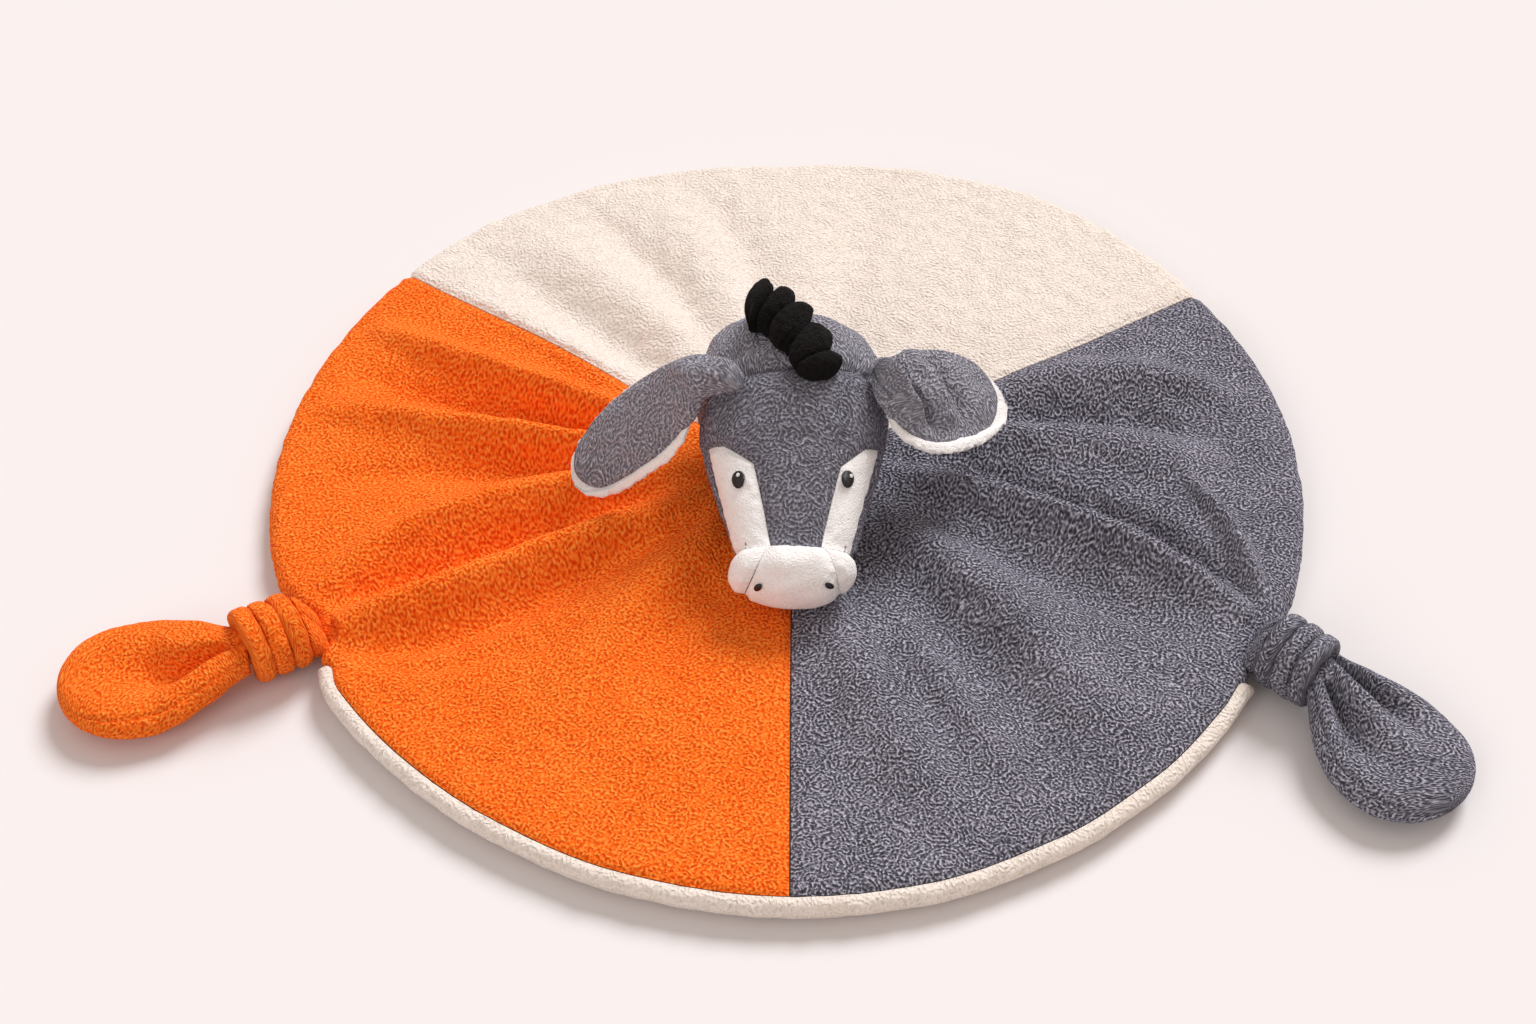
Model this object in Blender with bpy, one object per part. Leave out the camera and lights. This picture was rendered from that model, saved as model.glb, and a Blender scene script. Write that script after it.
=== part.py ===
"""Comfort blanket: a round padded blanket with a stuffed donkey head.

Three fabric sectors (orange, grey and cream) are sewn to a rolled cream
backing over thin wadding. The edge is tied in two knots, one orange and one
grey, and a small stuffed head with two lined ears and a twisted black tuft
sits in the middle on a short neck.

Metres, +Z up. The origin is the middle of the blanket's underside, and -Y is
the front, where the muzzle points.
"""

import bpy
import bmesh
import numpy as np
from math import cos, pi, radians, sin

# Fabric and sewing
FABRIC = 0.0020
GAP = 0.00035
SEAM_GAP = 0.0005
SAFE_GAP = 0.0008

# Blanket
BLANKET_RADIUS = 0.180
BLANKET_LOFT = 0.0140
EDGE_HEIGHT = 0.0110
WADDING_EDGE_GAP = 0.0015
FOLD_HEIGHT = 0.0052
NECK_HOLE_RADIUS = 0.0064
FRONT_BAND_TURN = radians(48)
SIDE_BAND_TURN = radians(-38)
BAND_BLEND = radians(9)

# Head
HEAD_LENGTH = 0.1110
HEAD_HALF_WIDTH = 0.0330
HEAD_HEIGHT = 0.0500
HEAD_BACK = 0.0365
HEAD_REST_GAP = 0.0020
HEAD_ROLL = radians(4.5)
HEAD_TURN = radians(1.4)
HEAD_SQUARENESS = 2.25
STUFFING_GAP = 0.0010
NECK_AXIS_DEPTH = 0.0016
EYE_WIDTH = 0.0046
EYE_HEIGHT = 0.0060
EYE_DOME = 0.0009
GLINT_SIZE = 0.0012
GLINT_DOME = 0.0004
NOSTRIL_WIDTH = 0.0024
NOSTRIL_HEIGHT = 0.0034
NOSTRIL_DOME = 0.0006

# Ears
EAR_THICKNESS = 0.0026
LINING_THICKNESS = 0.0030
LINING_BORDER = 0.0042
LEFT_EAR_LENGTH = 0.0592
LEFT_EAR_WIDTH = 0.0315
LEFT_EAR_TIP_CLEARANCE = 0.0020
RIGHT_EAR_LENGTH = 0.0442
RIGHT_EAR_WIDTH = 0.0385
RIGHT_EAR_TIP_CLEARANCE = 0.0140

# Tuft
TUFT_LIFT = 0.0034
TUFT_RADIUS = 0.0090
TUFT_SEAT = 0.0004
TUFT_LOBES = 5

# Knots
KNOT_RADIUS = 0.0130
KNOT_CORE_RADIUS = 0.0052
KNOT_CORE_GAP = 0.0010
KNOT_BAND = 0.0078
KNOT_TURNS = 2.55
KNOT_TURN_GAP = 0.0007
KNOT_ROOT_LENGTH = 0.0040
KNOT_BEND_LENGTH = 0.0012
KNOT_ROOT_WIDTH = 0.0196
KNOT_ROOT_HEIGHT = 0.0096
TAIL_LENGTH = 0.0572
TAIL_WIDTH = 0.0480
TAIL_THICKNESS = 0.0150
TAIL_JOINT_GAP = 0.0009
FLOOR_GAP = 0.0004

# Where the three fabric sectors meet, in degrees round the blanket
SEAM_ORANGE_CREAM = 142.8
SEAM_ORANGE_GREY = 269.5
SEAM_GREY_CREAM = 392.7
FULL_TURN = 360

# The edge bulges and dips: angle in degrees, radius as a share of the blanket's
RIM_SHARES = (
    (0, 0.995), (12, 1.003), (28, 1.008), (42, 1.016), (58, 1.024), (71, 1.005),
    (81, 0.990), (91, 0.976), (104, 0.988), (118, 1.000), (131, 1.013),
    (151, 1.011), (172, 1.012), (188, 1.012), (194, 0.990), (200, 0.958),
    (208, 0.958), (215, 0.990), (226, 1.004), (238, 1.013), (252, 1.022), (270, 1.028),
    (283, 1.026), (298, 1.014), (310, 1.000), (321, 0.984), (330, 0.950),
    (336, 0.948), (345, 0.984),
)
# Radial folds: angle in degrees, height as a share of the fold height
FOLD_SHARES = (
    (6, 1), (15, 0), (27, 0.9), (33, 0.1), (45, 0.85), (58, 0.8), (70, 0.95),
    (78, 0), (90, 1), (99, 0.1), (108, 1), (117, 0.1), (125, 0.9), (135, 0.1),
    (142, 0.8), (147, 0.1), (152, 0.9), (159, 0), (166, 0.95), (174, 0.1),
    (188, 1), (197, 0.1), (202, 0.8), (208, 0), (222, 0.9), (232, 0.5),
    (241, 0.7), (262, 0.7), (272, 0.1), (285, 0.8), (293, 0.4), (299, 0.8),
    (306, 0.1), (317, 0.9), (325, 0.6), (333, 0), (342, 0.95), (351, 0.1),
)
# How far the folds reach: radius share, and share of their full height there
FOLD_REACH_SHARES = ((0, 0), (0.14, 0), (0.36, 1), (0.74, 1), (0.95, 0), (1.1, 0))
# Rings of the padded surface from the middle to the edge, as radius shares
RING_SHARES = (0.12, 0.24, 0.37, 0.52, 0.68, 0.82, 0.92)
BACKING_RING_SHARES = (0.0, 0.5)
WADDING_RING_SHARES = (0.25, 0.5, 0.75)
ROLL_STEPS = 4

# Head sections from the back to the nose: place along the head, half width,
# top and bottom, as shares of its length, half width and height
SECTION_SHARES = (
    (0.000, 0.00, 0.560, 0.560), (0.022, 0.50, 0.800, 0.360),
    (0.095, 0.84, 0.955, 0.225), (0.230, 0.985, 1.000, 0.120),
    (0.385, 0.995, 0.985, 0.080), (0.530, 0.905, 0.870, 0.035),
    (0.655, 0.785, 0.715, 0.010), (0.765, 0.680, 0.580, 0.000),
    (0.840, 0.618, 0.475, 0.015), (0.895, 0.615, 0.475, 0.010),
    (0.950, 0.515, 0.425, 0.035), (0.988, 0.300, 0.335, 0.105),
    (1.000, 0.00, 0.230, 0.230),
)
# Seams of the head: section share along it, and angle from its top in degrees
CROWN_SEAM_SHARE = 0.31
CROWN_SEAM_LEAN_SHARE = 0.022
CHEEK_TOP_OUTER_SHARE = 0.404
CHEEK_TOP_INNER_SHARE = 0.488
MUZZLE_SEAM_TOP_SHARE = 0.722
MUZZLE_SEAM_BACK_SHARE = 0.605
FOREHEAD_SIDE = 79
FOREHEAD_AT_CHEEK = 32
FOREHEAD_AT_MUZZLE = 22
UNDERSIDE = 180
MUZZLE_BELT_SHARE = 0.42
# Eyes and nostrils, left then right: section share and angle from the top
EYE_SHARES = ((0.513, -47.5), (0.511, 38.5))
NOSTRIL_SHARES = ((0.900, -65.0), (0.889, 51.0))

# Ear shapes from root to tip, in shares: reach outward, reach to the front,
# drop from root to tip, width, and tilt of the blade in degrees
LEFT_EAR_SHARES = (
    (0.00, 0.00, 0.00, 0.34, 0), (0.13, -0.03, 0.02, 0.44, 6),
    (0.26, -0.06, 0.08, 0.58, 14), (0.39, -0.03, 0.24, 0.86, 22),
    (0.54, -0.01, 0.44, 1.00, 25), (0.70, -0.01, 0.65, 0.97, 26),
    (0.85, 0.01, 0.85, 0.80, 26), (0.95, 0.03, 0.95, 0.54, 24),
    (1.00, 0.05, 1.00, 0.24, 22),
)
RIGHT_EAR_SHARES = (
    (0.00, 0.00, 0.00, 0.36, 0), (0.10, 0.08, 0.05, 0.58, 10),
    (0.24, 0.14, 0.15, 0.90, 20), (0.42, 0.10, 0.31, 1.00, 25),
    (0.62, -0.04, 0.50, 0.98, 26), (0.82, -0.17, 0.70, 0.82, 26),
    (0.98, -0.28, 0.87, 0.56, 25), (1.08, -0.36, 1.00, 0.24, 24),
)
# How much the slant of the rings follows the curve, and not the straight way
EAR_BEND_SHARE = 0.35
# Ear roots: section share, angle from the top, and gap to the head
LEFT_EAR_ROOT = (0.350, -29, 0.0008)
RIGHT_EAR_ROOT = (0.314, 42, 0.0003)

# Tuft along the crown: section share, angle from the top, share of its lift
TUFT_SHARES = (
    (0.350, 5.0, 0.0), (0.320, 4.5, 0.0), (0.277, 0.5, 0.0), (0.236, -4.5, 0.2),
    (0.207, -11.0, 1.0), (0.202, -19.0, 0.4), (0.208, -25.5, 0.1),
)

# Knots: angle round the blanket, then the way the wrap and the tail point
ORANGE_KNOT = (204.0, 209.0, 192.0)
GREY_KNOT = (333.0, 317.0, 302.0)
ORANGE_TAIL_CREASES = 1
GREY_TAIL_CREASES = 2
TAIL_SHARES = (
    (0.00, 0.30, 0.62), (0.10, 0.40, 0.78), (0.24, 0.64, 0.95), (0.42, 0.90, 1.00),
    (0.60, 1.00, 0.98), (0.76, 0.94, 0.90), (0.90, 0.70, 0.72), (0.98, 0.36, 0.48),
)
TAIL_CREASE_SHARE = 0.30
TAIL_SIDES = 16


# Modelling detail: counts, and the small shares that only set fineness
WELD = SEAM_GAP / 100
SHARP_ANGLE = radians(42)
NUDGE_SHARE = 0.002
MIN_RIB = 1.2
WADDING_ROLL_STEPS = 3
FOREHEAD_COLUMNS = 9
BROW_ROWS = 4
CHEEK_ROWS = 6
JAW_COLUMNS = 6
END_ROWS = 6
END_COLUMNS = 11
END_ARC_PARTS = 4
CROWN_CHORD_SHARE = 0.0
STUFFING_END_SHARE = 0.05
STUFFING_ROWS = 14
STUFFING_COLUMNS = 16
SPOT_SIDES = 12
SPOT_REACH_SHARES = (0.0, 0.55, 1.0)
SPOT_EDGE_SHARE = 0.92
NECK_SAMPLES = 61
NECK_RINGS = 6
NECK_SIDES = 20
EAR_ROWS = 17
EAR_COLUMNS = 9
TUFT_LOBE_ROWS = 5
TUFT_SIDES = 14
TUFT_WAIST_SHARE = 0.66
TUFT_SKEW_SHARE = 0.5
TUFT_END_SHARE = 6
TUFT_TIP_SHARE = 0.1
TUFT_FLAT_SHARE = 0.66
LOOP_POINTS = 20
BAND_SIDES = 10
BAND_SQUARENESS = 3.0
KNOT_END_SHARE = 0.45
KNOT_TAPER_TURNS = 0.5
KNOT_PHASE = radians(200)
CORE_ROWS = 9
CORE_SIDES = 12
TAIL_ROWS = 14


def srgb(text):
    """Turn a hex colour into the linear values a shader takes."""
    parts = [int(text[i:i + 2], 16) / 255 for i in (1, 3, 5)]
    linear = [p / 12.92 if p <= 0.04045 else ((p + 0.055) / 1.055) ** 2.4 for p in parts]
    return (*linear, 1)


def material(name, colour, roughness):
    """A Principled material in one colour."""
    mat = bpy.data.materials.new(name)
    mat.use_nodes = True
    shader = mat.node_tree.nodes["Principled BSDF"]
    shader.inputs["Base Color"].default_value = srgb(colour)
    shader.inputs["Roughness"].default_value = roughness
    shader.inputs["Metallic"].default_value = 0
    mat.diffuse_color = srgb(colour)
    return mat


def smooth_through(stops, x):
    """Read a smooth curve through stops, rows of a place and its values, at x."""
    rows = np.asarray(stops, float)
    xs, ys = rows[:, 0], rows[:, 1:]
    x = np.clip(np.asarray(x, float), xs[0], xs[-1])
    slopes = np.diff(ys, axis=0) / np.diff(xs)[:, None]
    ends = np.vstack([slopes[:1], (slopes[:-1] + slopes[1:]) / 2, slopes[-1:]])
    i = np.clip(np.searchsorted(xs, x, side="right") - 1, 0, len(xs) - 2)
    step = (xs[i + 1] - xs[i])[..., None]
    t = (x[..., None] - xs[i][..., None]) / step
    rise = t * t * (3 - 2 * t)
    lead = t * (1 - t) ** 2 * step * ends[i]
    trail = t * t * (t - 1) * step * ends[i + 1]
    return ys[i] * (1 - rise) + ys[i + 1] * rise + lead + trail


def eased(stops, x, period=None):
    """Ease from stop to stop with a flat crest and dip at each one."""
    rows = np.asarray(stops, float)
    if period:
        x = np.mod(x, period)
        before = rows[-1:] - [[period, 0]]
        after = rows[:1] + [[period, 0]]
        rows = np.vstack([before, rows, after])
    x = np.asarray(x, float)
    i = np.clip(np.searchsorted(rows[:, 0], x, side="right") - 1, 0, len(rows) - 2)
    t = np.clip((x - rows[i, 0]) / (rows[i + 1, 0] - rows[i, 0]), 0, 1)
    return rows[i, 1] + (rows[i + 1, 1] - rows[i, 1]) * (1 - np.cos(pi * t)) / 2


def unit(v):
    """Vectors of length one."""
    v = np.asarray(v, float)
    return v / np.linalg.norm(v, axis=-1, keepdims=True)


def empty(name, place, parent=None):
    """An empty on a joint's axis, which carries the pieces that turn there."""
    obj = bpy.data.objects.new(name, None)
    obj.location = [a - b for a, b in zip(place, parent["place"] if parent else (0, 0, 0))]
    obj["place"] = [float(a) for a in place]
    obj.parent = parent
    bpy.context.scene.collection.objects.link(obj)
    return obj


def solid(name, verts, faces, mat, pivot):
    """Make one closed body from world points, hung on its pivot empty."""
    mesh = bpy.data.meshes.new(name)
    verts = np.asarray(verts).reshape(-1, 3) - np.array(pivot["place"])
    mesh.from_pydata(verts.tolist(), [], faces)
    bm = bmesh.new()
    bm.from_mesh(mesh)
    bmesh.ops.remove_doubles(bm, verts=bm.verts, dist=WELD)
    bmesh.ops.recalc_face_normals(bm, faces=bm.faces)
    bmesh.ops.triangulate(bm, faces=bm.faces)
    bm.to_mesh(mesh)
    bm.free()
    mesh.shade_smooth()
    mesh.set_sharp_from_angle(angle=SHARP_ANGLE)
    mesh.materials.append(mat)
    obj = bpy.data.objects.new(name, mesh)
    obj.parent = pivot
    bpy.context.scene.collection.objects.link(obj)
    return obj


def grid_faces(rows, columns, start, wrap):
    """Quads over a grid of points, joined round on itself where wrap is set."""
    faces = []
    for i in range(rows if wrap else rows - 1):
        j = (i + 1) % rows
        for k in range(columns - 1):
            a, b = start + i * columns + k, start + j * columns + k
            faces.append((a, b, b + 1, a + 1))
    return faces


def shell(name, outer, inner, mat, pivot, wrap=False):
    """A closed body between two grids of points of the same shape."""
    rows, columns = outer.shape[:2]
    count = rows * columns
    faces = grid_faces(rows, columns, 0, wrap)
    faces += [face[::-1] for face in grid_faces(rows, columns, count, wrap)]
    edges = []
    for i in range(rows if wrap else rows - 1):
        j = (i + 1) % rows
        edges.append((j * columns, i * columns))
        edges.append((i * columns + columns - 1, j * columns + columns - 1))
    if not wrap:
        for k in range(columns - 1):
            edges.append((k, k + 1))
            edges.append(((rows - 1) * columns + k + 1, (rows - 1) * columns + k))
    faces += [(a, b, b + count, a + count) for a, b in edges]
    verts = np.concatenate([outer.reshape(-1, 3), inner.reshape(-1, 3)])
    return solid(name, verts, faces, mat, pivot)


def skin(name, rings, mat, pivot):
    """A closed body lofted through rings of points, with flat ends."""
    rows, columns = rings.shape[:2]
    faces = []
    for i in range(rows - 1):
        for k in range(columns):
            n = (k + 1) % columns
            faces.append((i * columns + k, i * columns + n,
                          (i + 1) * columns + n, (i + 1) * columns + k))
    faces.append(tuple(range(columns)))
    faces.append(tuple((rows - 1) * columns + k for k in range(columns))[::-1])
    return solid(name, rings, faces, mat, pivot)


# Blanket surface

def rim_radius(degrees):
    """Radius of the blanket's edge at an angle."""
    return BLANKET_RADIUS * eased(RIM_SHARES, degrees, FULL_TURN)


def padded_height(share, degrees, folds=1.0):
    """Height of the padded top at a radius share and an angle."""
    base = EDGE_HEIGHT + (BLANKET_LOFT - EDGE_HEIGHT) * (1 - share ** 2)
    reach = eased(FOLD_REACH_SHARES, share)
    fold = eased(FOLD_SHARES, degrees, FULL_TURN) * folds - 1 / 2
    return base + FOLD_HEIGHT * reach * fold


def band_turn(degrees):
    """How far up the rolled edge the backing comes, as an angle of the roll."""
    degrees = np.mod(degrees, FULL_TURN)
    left = ORANGE_KNOT[0] + np.degrees(BAND_BLEND)
    right = GREY_KNOT[0] - np.degrees(BAND_BLEND)
    rise = np.clip((degrees - left) / np.degrees(BAND_BLEND), 0, 1)
    fall = np.clip((right - degrees) / np.degrees(BAND_BLEND), 0, 1)
    front = rise ** 2 * (3 - 2 * rise) * fall ** 2 * (3 - 2 * fall)
    return SIDE_BAND_TURN + (FRONT_BAND_TURN - SIDE_BAND_TURN) * front


def rib_angles(first, last):
    """Angles of the ribs that carry the folds, on each crest, dip and slope."""
    stops = [row[0] for row in FOLD_SHARES]
    stops = [stop + turn for turn in (0, FULL_TURN) for stop in stops]
    middles = [(a + b) / 2 for a, b in zip(stops, stops[1:])]
    inside = [a for a in stops + middles if first + MIN_RIB < a < last - MIN_RIB]
    return np.array([first] + sorted(inside) + [last])


def roll_centre(degrees):
    """Radius of the rolled edge's centre line."""
    return rim_radius(degrees) - EDGE_HEIGHT / 2


def top_profile(degrees, inset, last_turn, rings, folds=1.0):
    """Radius and height of points from the neck hole over the top and the roll."""
    centre = roll_centre(degrees)
    shares = np.array(rings)
    radii = np.concatenate([[NECK_HOLE_RADIUS], shares * centre])
    share = radii / centre
    heights = padded_height(share, degrees, folds)
    nudge = NUDGE_SHARE
    slope = (padded_height(share + nudge, degrees, folds) - heights) / (nudge * centre)
    lean = np.arctan(slope)
    radii = radii + inset * np.sin(lean) * (share > NUDGE_SHARE + shares[0] / 2)
    heights = heights - inset * np.cos(lean)
    turns = np.linspace(pi / 2, last_turn, ROLL_STEPS + 1)
    roll = EDGE_HEIGHT / 2 - inset
    radii = np.concatenate([radii, centre + roll * np.cos(turns)])
    heights = np.concatenate([heights, EDGE_HEIGHT / 2 + roll * np.sin(turns)])
    return radii, heights


def around(degrees, radii, heights, aside=0.0):
    """World points of a profile that stands at an angle round the blanket."""
    angle = radians(degrees)
    x = radii * cos(angle) - aside * sin(angle)
    y = radii * sin(angle) + aside * cos(angle)
    return np.stack([x, y, heights], axis=-1)


def fabric_sector(name, first, last, mat, pivot):
    """One padded top sector, from seam to seam and over the rolled edge."""
    outer, inner = [], []
    for degrees in rib_angles(first, last):
        aside = {first: SEAM_GAP / 2, last: -SEAM_GAP / 2}.get(degrees, 0.0)
        end = band_turn(degrees) + SEAM_GAP / EDGE_HEIGHT
        outer.append(around(degrees, *top_profile(degrees, 0, end, RING_SHARES), aside))
        inner.append(around(degrees, *top_profile(degrees, FABRIC, end, RING_SHARES), aside))
    return shell(name, np.array(outer), np.array(inner), mat, pivot)


def backing(name, mat, pivot):
    """The backing disc, whose edge turns up over the roll."""
    outer, inner = [], []
    for degrees in rib_angles(SEAM_GREY_CREAM - FULL_TURN, SEAM_GREY_CREAM)[:-1]:
        centre = roll_centre(degrees)
        end = band_turn(degrees) - SEAM_GAP / EDGE_HEIGHT
        turns = np.linspace(-pi / 2, end, ROLL_STEPS + 1)
        flat = centre * np.array(BACKING_RING_SHARES)
        for inset, rows in ((0, outer), (FABRIC, inner)):
            roll = EDGE_HEIGHT / 2 - inset
            radii = np.concatenate([flat, centre + roll * np.cos(turns)])
            rise = EDGE_HEIGHT / 2 + roll * np.sin(turns)
            heights = np.concatenate([np.full(len(flat), float(inset)), rise])
            rows.append(around(degrees, radii, heights))
    return shell(name, np.array(outer), np.array(inner), mat, pivot, wrap=True)


def wadding(name, mat, pivot):
    """The padding between the fabrics, level with the dips of the folds."""
    inset = FABRIC + GAP
    top, bottom = [], []
    for degrees in rib_angles(SEAM_GREY_CREAM - FULL_TURN, SEAM_GREY_CREAM)[:-1]:
        centre = roll_centre(degrees) - WADDING_EDGE_GAP
        radii = np.concatenate([[NECK_HOLE_RADIUS], centre * np.array(WADDING_RING_SHARES)])
        heights = padded_height(radii / centre, degrees, 0) - inset - SAFE_GAP
        roll = EDGE_HEIGHT / 2 - inset - SAFE_GAP
        turns = np.linspace(pi / 2, 0, WADDING_ROLL_STEPS)
        radii = np.concatenate([radii, centre + roll * np.cos(turns)])
        heights = np.concatenate([heights, EDGE_HEIGHT / 2 + roll * np.sin(turns)])
        top.append(around(degrees, radii, heights))
        low = np.minimum(heights, EDGE_HEIGHT - heights)
        low[:len(WADDING_RING_SHARES) + 1] = inset
        low = np.maximum(low, inset)
        low[-1] = EDGE_HEIGHT / 2 - SAFE_GAP
        bottom.append(around(degrees, radii, low))
    return shell(name, np.array(top)[::2], np.array(bottom)[::2], mat, pivot, wrap=True)


# Head surface

def head_base():
    """Height of the chin over the floor."""
    return BLANKET_LOFT + HEAD_REST_GAP


def head_point(share, degrees):
    """Point of the head at a section share and an angle from its top."""
    share, degrees = np.broadcast_arrays(np.asarray(share, float), np.asarray(degrees, float))
    stops = [(i / (len(SECTION_SHARES) - 1), *row) for i, row in enumerate(SECTION_SHARES)]
    along, width, top, low = np.moveaxis(smooth_through(stops, share), -1, 0)
    across, rise = np.sin(np.radians(degrees)), np.cos(np.radians(degrees))
    power = 2 / HEAD_SQUARENESS
    x = HEAD_HALF_WIDTH * width * np.sign(across) * np.abs(across) ** power
    y = HEAD_BACK - HEAD_LENGTH * along
    z = HEAD_HEIGHT * ((top + low) / 2 + (top - low) / 2 * np.sign(rise) * np.abs(rise) ** power)
    z = z - HEAD_HEIGHT / 2
    x, z = x * cos(HEAD_ROLL) + z * sin(HEAD_ROLL), z * cos(HEAD_ROLL) - x * sin(HEAD_ROLL)
    x, y = x * cos(HEAD_TURN) - y * sin(HEAD_TURN), y * cos(HEAD_TURN) + x * sin(HEAD_TURN)
    return np.stack([x, y, z + HEAD_HEIGHT / 2 + head_base()], axis=-1)


def head_normal(share, degrees):
    """Outward direction of the head's surface."""
    nudge, turn = NUDGE_SHARE, np.degrees(NUDGE_SHARE)
    along = head_point(share + nudge, degrees) - head_point(share - nudge, degrees)
    across = head_point(share, degrees + turn) - head_point(share, degrees - turn)
    return unit(np.cross(along, across))


def crown_seam(degrees):
    """Section share of the seam behind the forehead."""
    return CROWN_SEAM_SHARE - CROWN_SEAM_LEAN_SHARE * np.sin(np.radians(degrees))


def muzzle_seam(degrees):
    """Section share of the seam in front of the cheeks."""
    back = (1 - np.cos(np.radians(degrees))) / 2
    return MUZZLE_SEAM_TOP_SHARE + (MUZZLE_SEAM_BACK_SHARE - MUZZLE_SEAM_TOP_SHARE) * back


def blend_edges(low, high, left, right):
    """Fill a patch from its four edges, each a row of places that meet at corners."""
    u = np.linspace(0, 1, len(left))[:, None, None]
    v = np.linspace(0, 1, len(low))[None, :, None]
    rows = low[None] * (1 - u) + high[None] * u
    columns = left[:, None] * (1 - v) + right[:, None] * v
    corners = (low[0] * (1 - u) * (1 - v) + low[-1] * (1 - u) * v
               + high[0] * u * (1 - v) + high[-1] * u * v)
    return rows + columns - corners


def drawn_in(points, gap):
    """Draw the edges of a patch of points in by half a seam gap."""
    points = points.copy()
    for axis in (0, 1):
        grid = np.moveaxis(points, axis, 0)
        grid[0] += unit(grid[1] - grid[0]) * gap / 2
        grid[-1] += unit(grid[-2] - grid[-1]) * gap / 2
    return points


def head_panel(name, places, mat, pivot):
    """A fabric panel over a patch of places on the head, seam allowance out."""
    share, degrees = places[..., 0], places[..., 1]
    points = drawn_in(head_point(share, degrees), SEAM_GAP)
    inner = drawn_in(head_point(share, degrees) - FABRIC * head_normal(share, degrees), SEAM_GAP)
    return shell(name, points, inner, mat, pivot)


def line(*stops, count):
    """Places along a path of stops, evenly by the number of stops."""
    stops = np.array(stops, float)
    t = np.linspace(0, len(stops) - 1, count)
    return np.stack([np.interp(t, range(len(stops)), column) for column in stops.T], axis=-1)


def forehead(name, mat, pivot):
    """The grey face panel: wide over the brow, narrow down to the muzzle."""
    across = np.linspace(-FOREHEAD_SIDE, FOREHEAD_SIDE, FOREHEAD_COLUMNS)
    low = np.stack([crown_seam(across), across], axis=-1)
    ends = np.linspace(-FOREHEAD_AT_MUZZLE, FOREHEAD_AT_MUZZLE, FOREHEAD_COLUMNS)
    high = np.stack([muzzle_seam(ends), ends], axis=-1)
    sides = []
    for side in (-1, 1):
        first = (crown_seam(side * FOREHEAD_SIDE), side * FOREHEAD_SIDE)
        corner = (CHEEK_TOP_OUTER_SHARE, side * FOREHEAD_SIDE)
        inner = (CHEEK_TOP_INNER_SHARE, side * FOREHEAD_AT_CHEEK)
        last = (muzzle_seam(FOREHEAD_AT_MUZZLE), side * FOREHEAD_AT_MUZZLE)
        sides.append(np.vstack([line(first, corner, count=BROW_ROWS)[:-1],
                                line(corner, inner, count=BROW_ROWS)[:-1],
                                line(inner, last, count=CHEEK_ROWS)]))
    head_panel(name, blend_edges(low, high, *sides), mat, pivot)


def cheek(name, side, mat, pivot):
    """A white cheek panel, from the brow down to the muzzle."""
    low = line((CHEEK_TOP_INNER_SHARE, FOREHEAD_AT_CHEEK),
               (CHEEK_TOP_OUTER_SHARE, FOREHEAD_SIDE), count=BROW_ROWS)
    ends = np.linspace(FOREHEAD_AT_MUZZLE, FOREHEAD_SIDE, BROW_ROWS)
    high = np.stack([muzzle_seam(ends), ends], axis=-1)
    left = line(low[0], high[0], count=CHEEK_ROWS)
    right = line(low[-1], high[-1], count=CHEEK_ROWS)
    head_panel(name, blend_edges(low, high, left, right) * (1, side), mat, pivot)


def jaw(name, side, mat, pivot):
    """A grey side panel, from the brow seam round to the seam under the chin."""
    turns = np.linspace(FOREHEAD_SIDE, UNDERSIDE, JAW_COLUMNS)
    low = np.stack([crown_seam(side * turns), turns], axis=-1)
    high = np.stack([muzzle_seam(turns), turns], axis=-1)
    corner = (CHEEK_TOP_OUTER_SHARE, FOREHEAD_SIDE)
    left = np.vstack([line(low[0], corner, count=BROW_ROWS)[:-1],
                      line(corner, high[0], count=CHEEK_ROWS)])
    right = line(low[-1], high[-1], count=len(left))
    head_panel(name, blend_edges(low, high, left, right) * (1, side), mat, pivot)


def disc_places(spots, seam, end_share):
    """Head places of spots on a unit disc that covers one rounded end."""
    reach = np.hypot(spots[..., 0], spots[..., 1])
    degrees = np.degrees(np.arctan2(spots[..., 0], spots[..., 1]))
    share = end_share + (seam(degrees) - end_share) * np.clip(reach, 0, 1)
    return np.stack([share, degrees], axis=-1)


def arc(first, last, count):
    """Spots on the edge of the unit disc between two angles from its top."""
    turns = np.radians(np.linspace(first, last, count))
    return np.stack([np.sin(turns), np.cos(turns)], axis=-1)


def end_side(chord, side, rows, columns):
    """Spots over the part of the unit disc beyond an upright chord."""
    corner = np.degrees(np.arccos(chord))
    first, last = 90 - corner, 90 + corner
    inner = (last - first) / END_ARC_PARTS
    low = line((chord, np.cos(radians(first))), (chord, np.cos(radians(last))), count=columns)
    high = arc(first + inner, last - inner, columns)
    left = arc(first, first + inner, rows)
    right = arc(last, last - inner, rows)
    return blend_edges(low, high, left, right) * (side, 1)


def end_belt(chord, rows, columns):
    """Spots over the part of the unit disc between two upright chords."""
    corner = np.degrees(np.arccos(chord))
    tip = 90 - corner
    low = arc(180 + tip, 180 - tip, columns)
    high = arc(-tip, tip, columns)
    left = line(low[0], high[0], count=rows)
    right = line(low[-1], high[-1], count=rows)
    return blend_edges(low, high, left, right)


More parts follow.
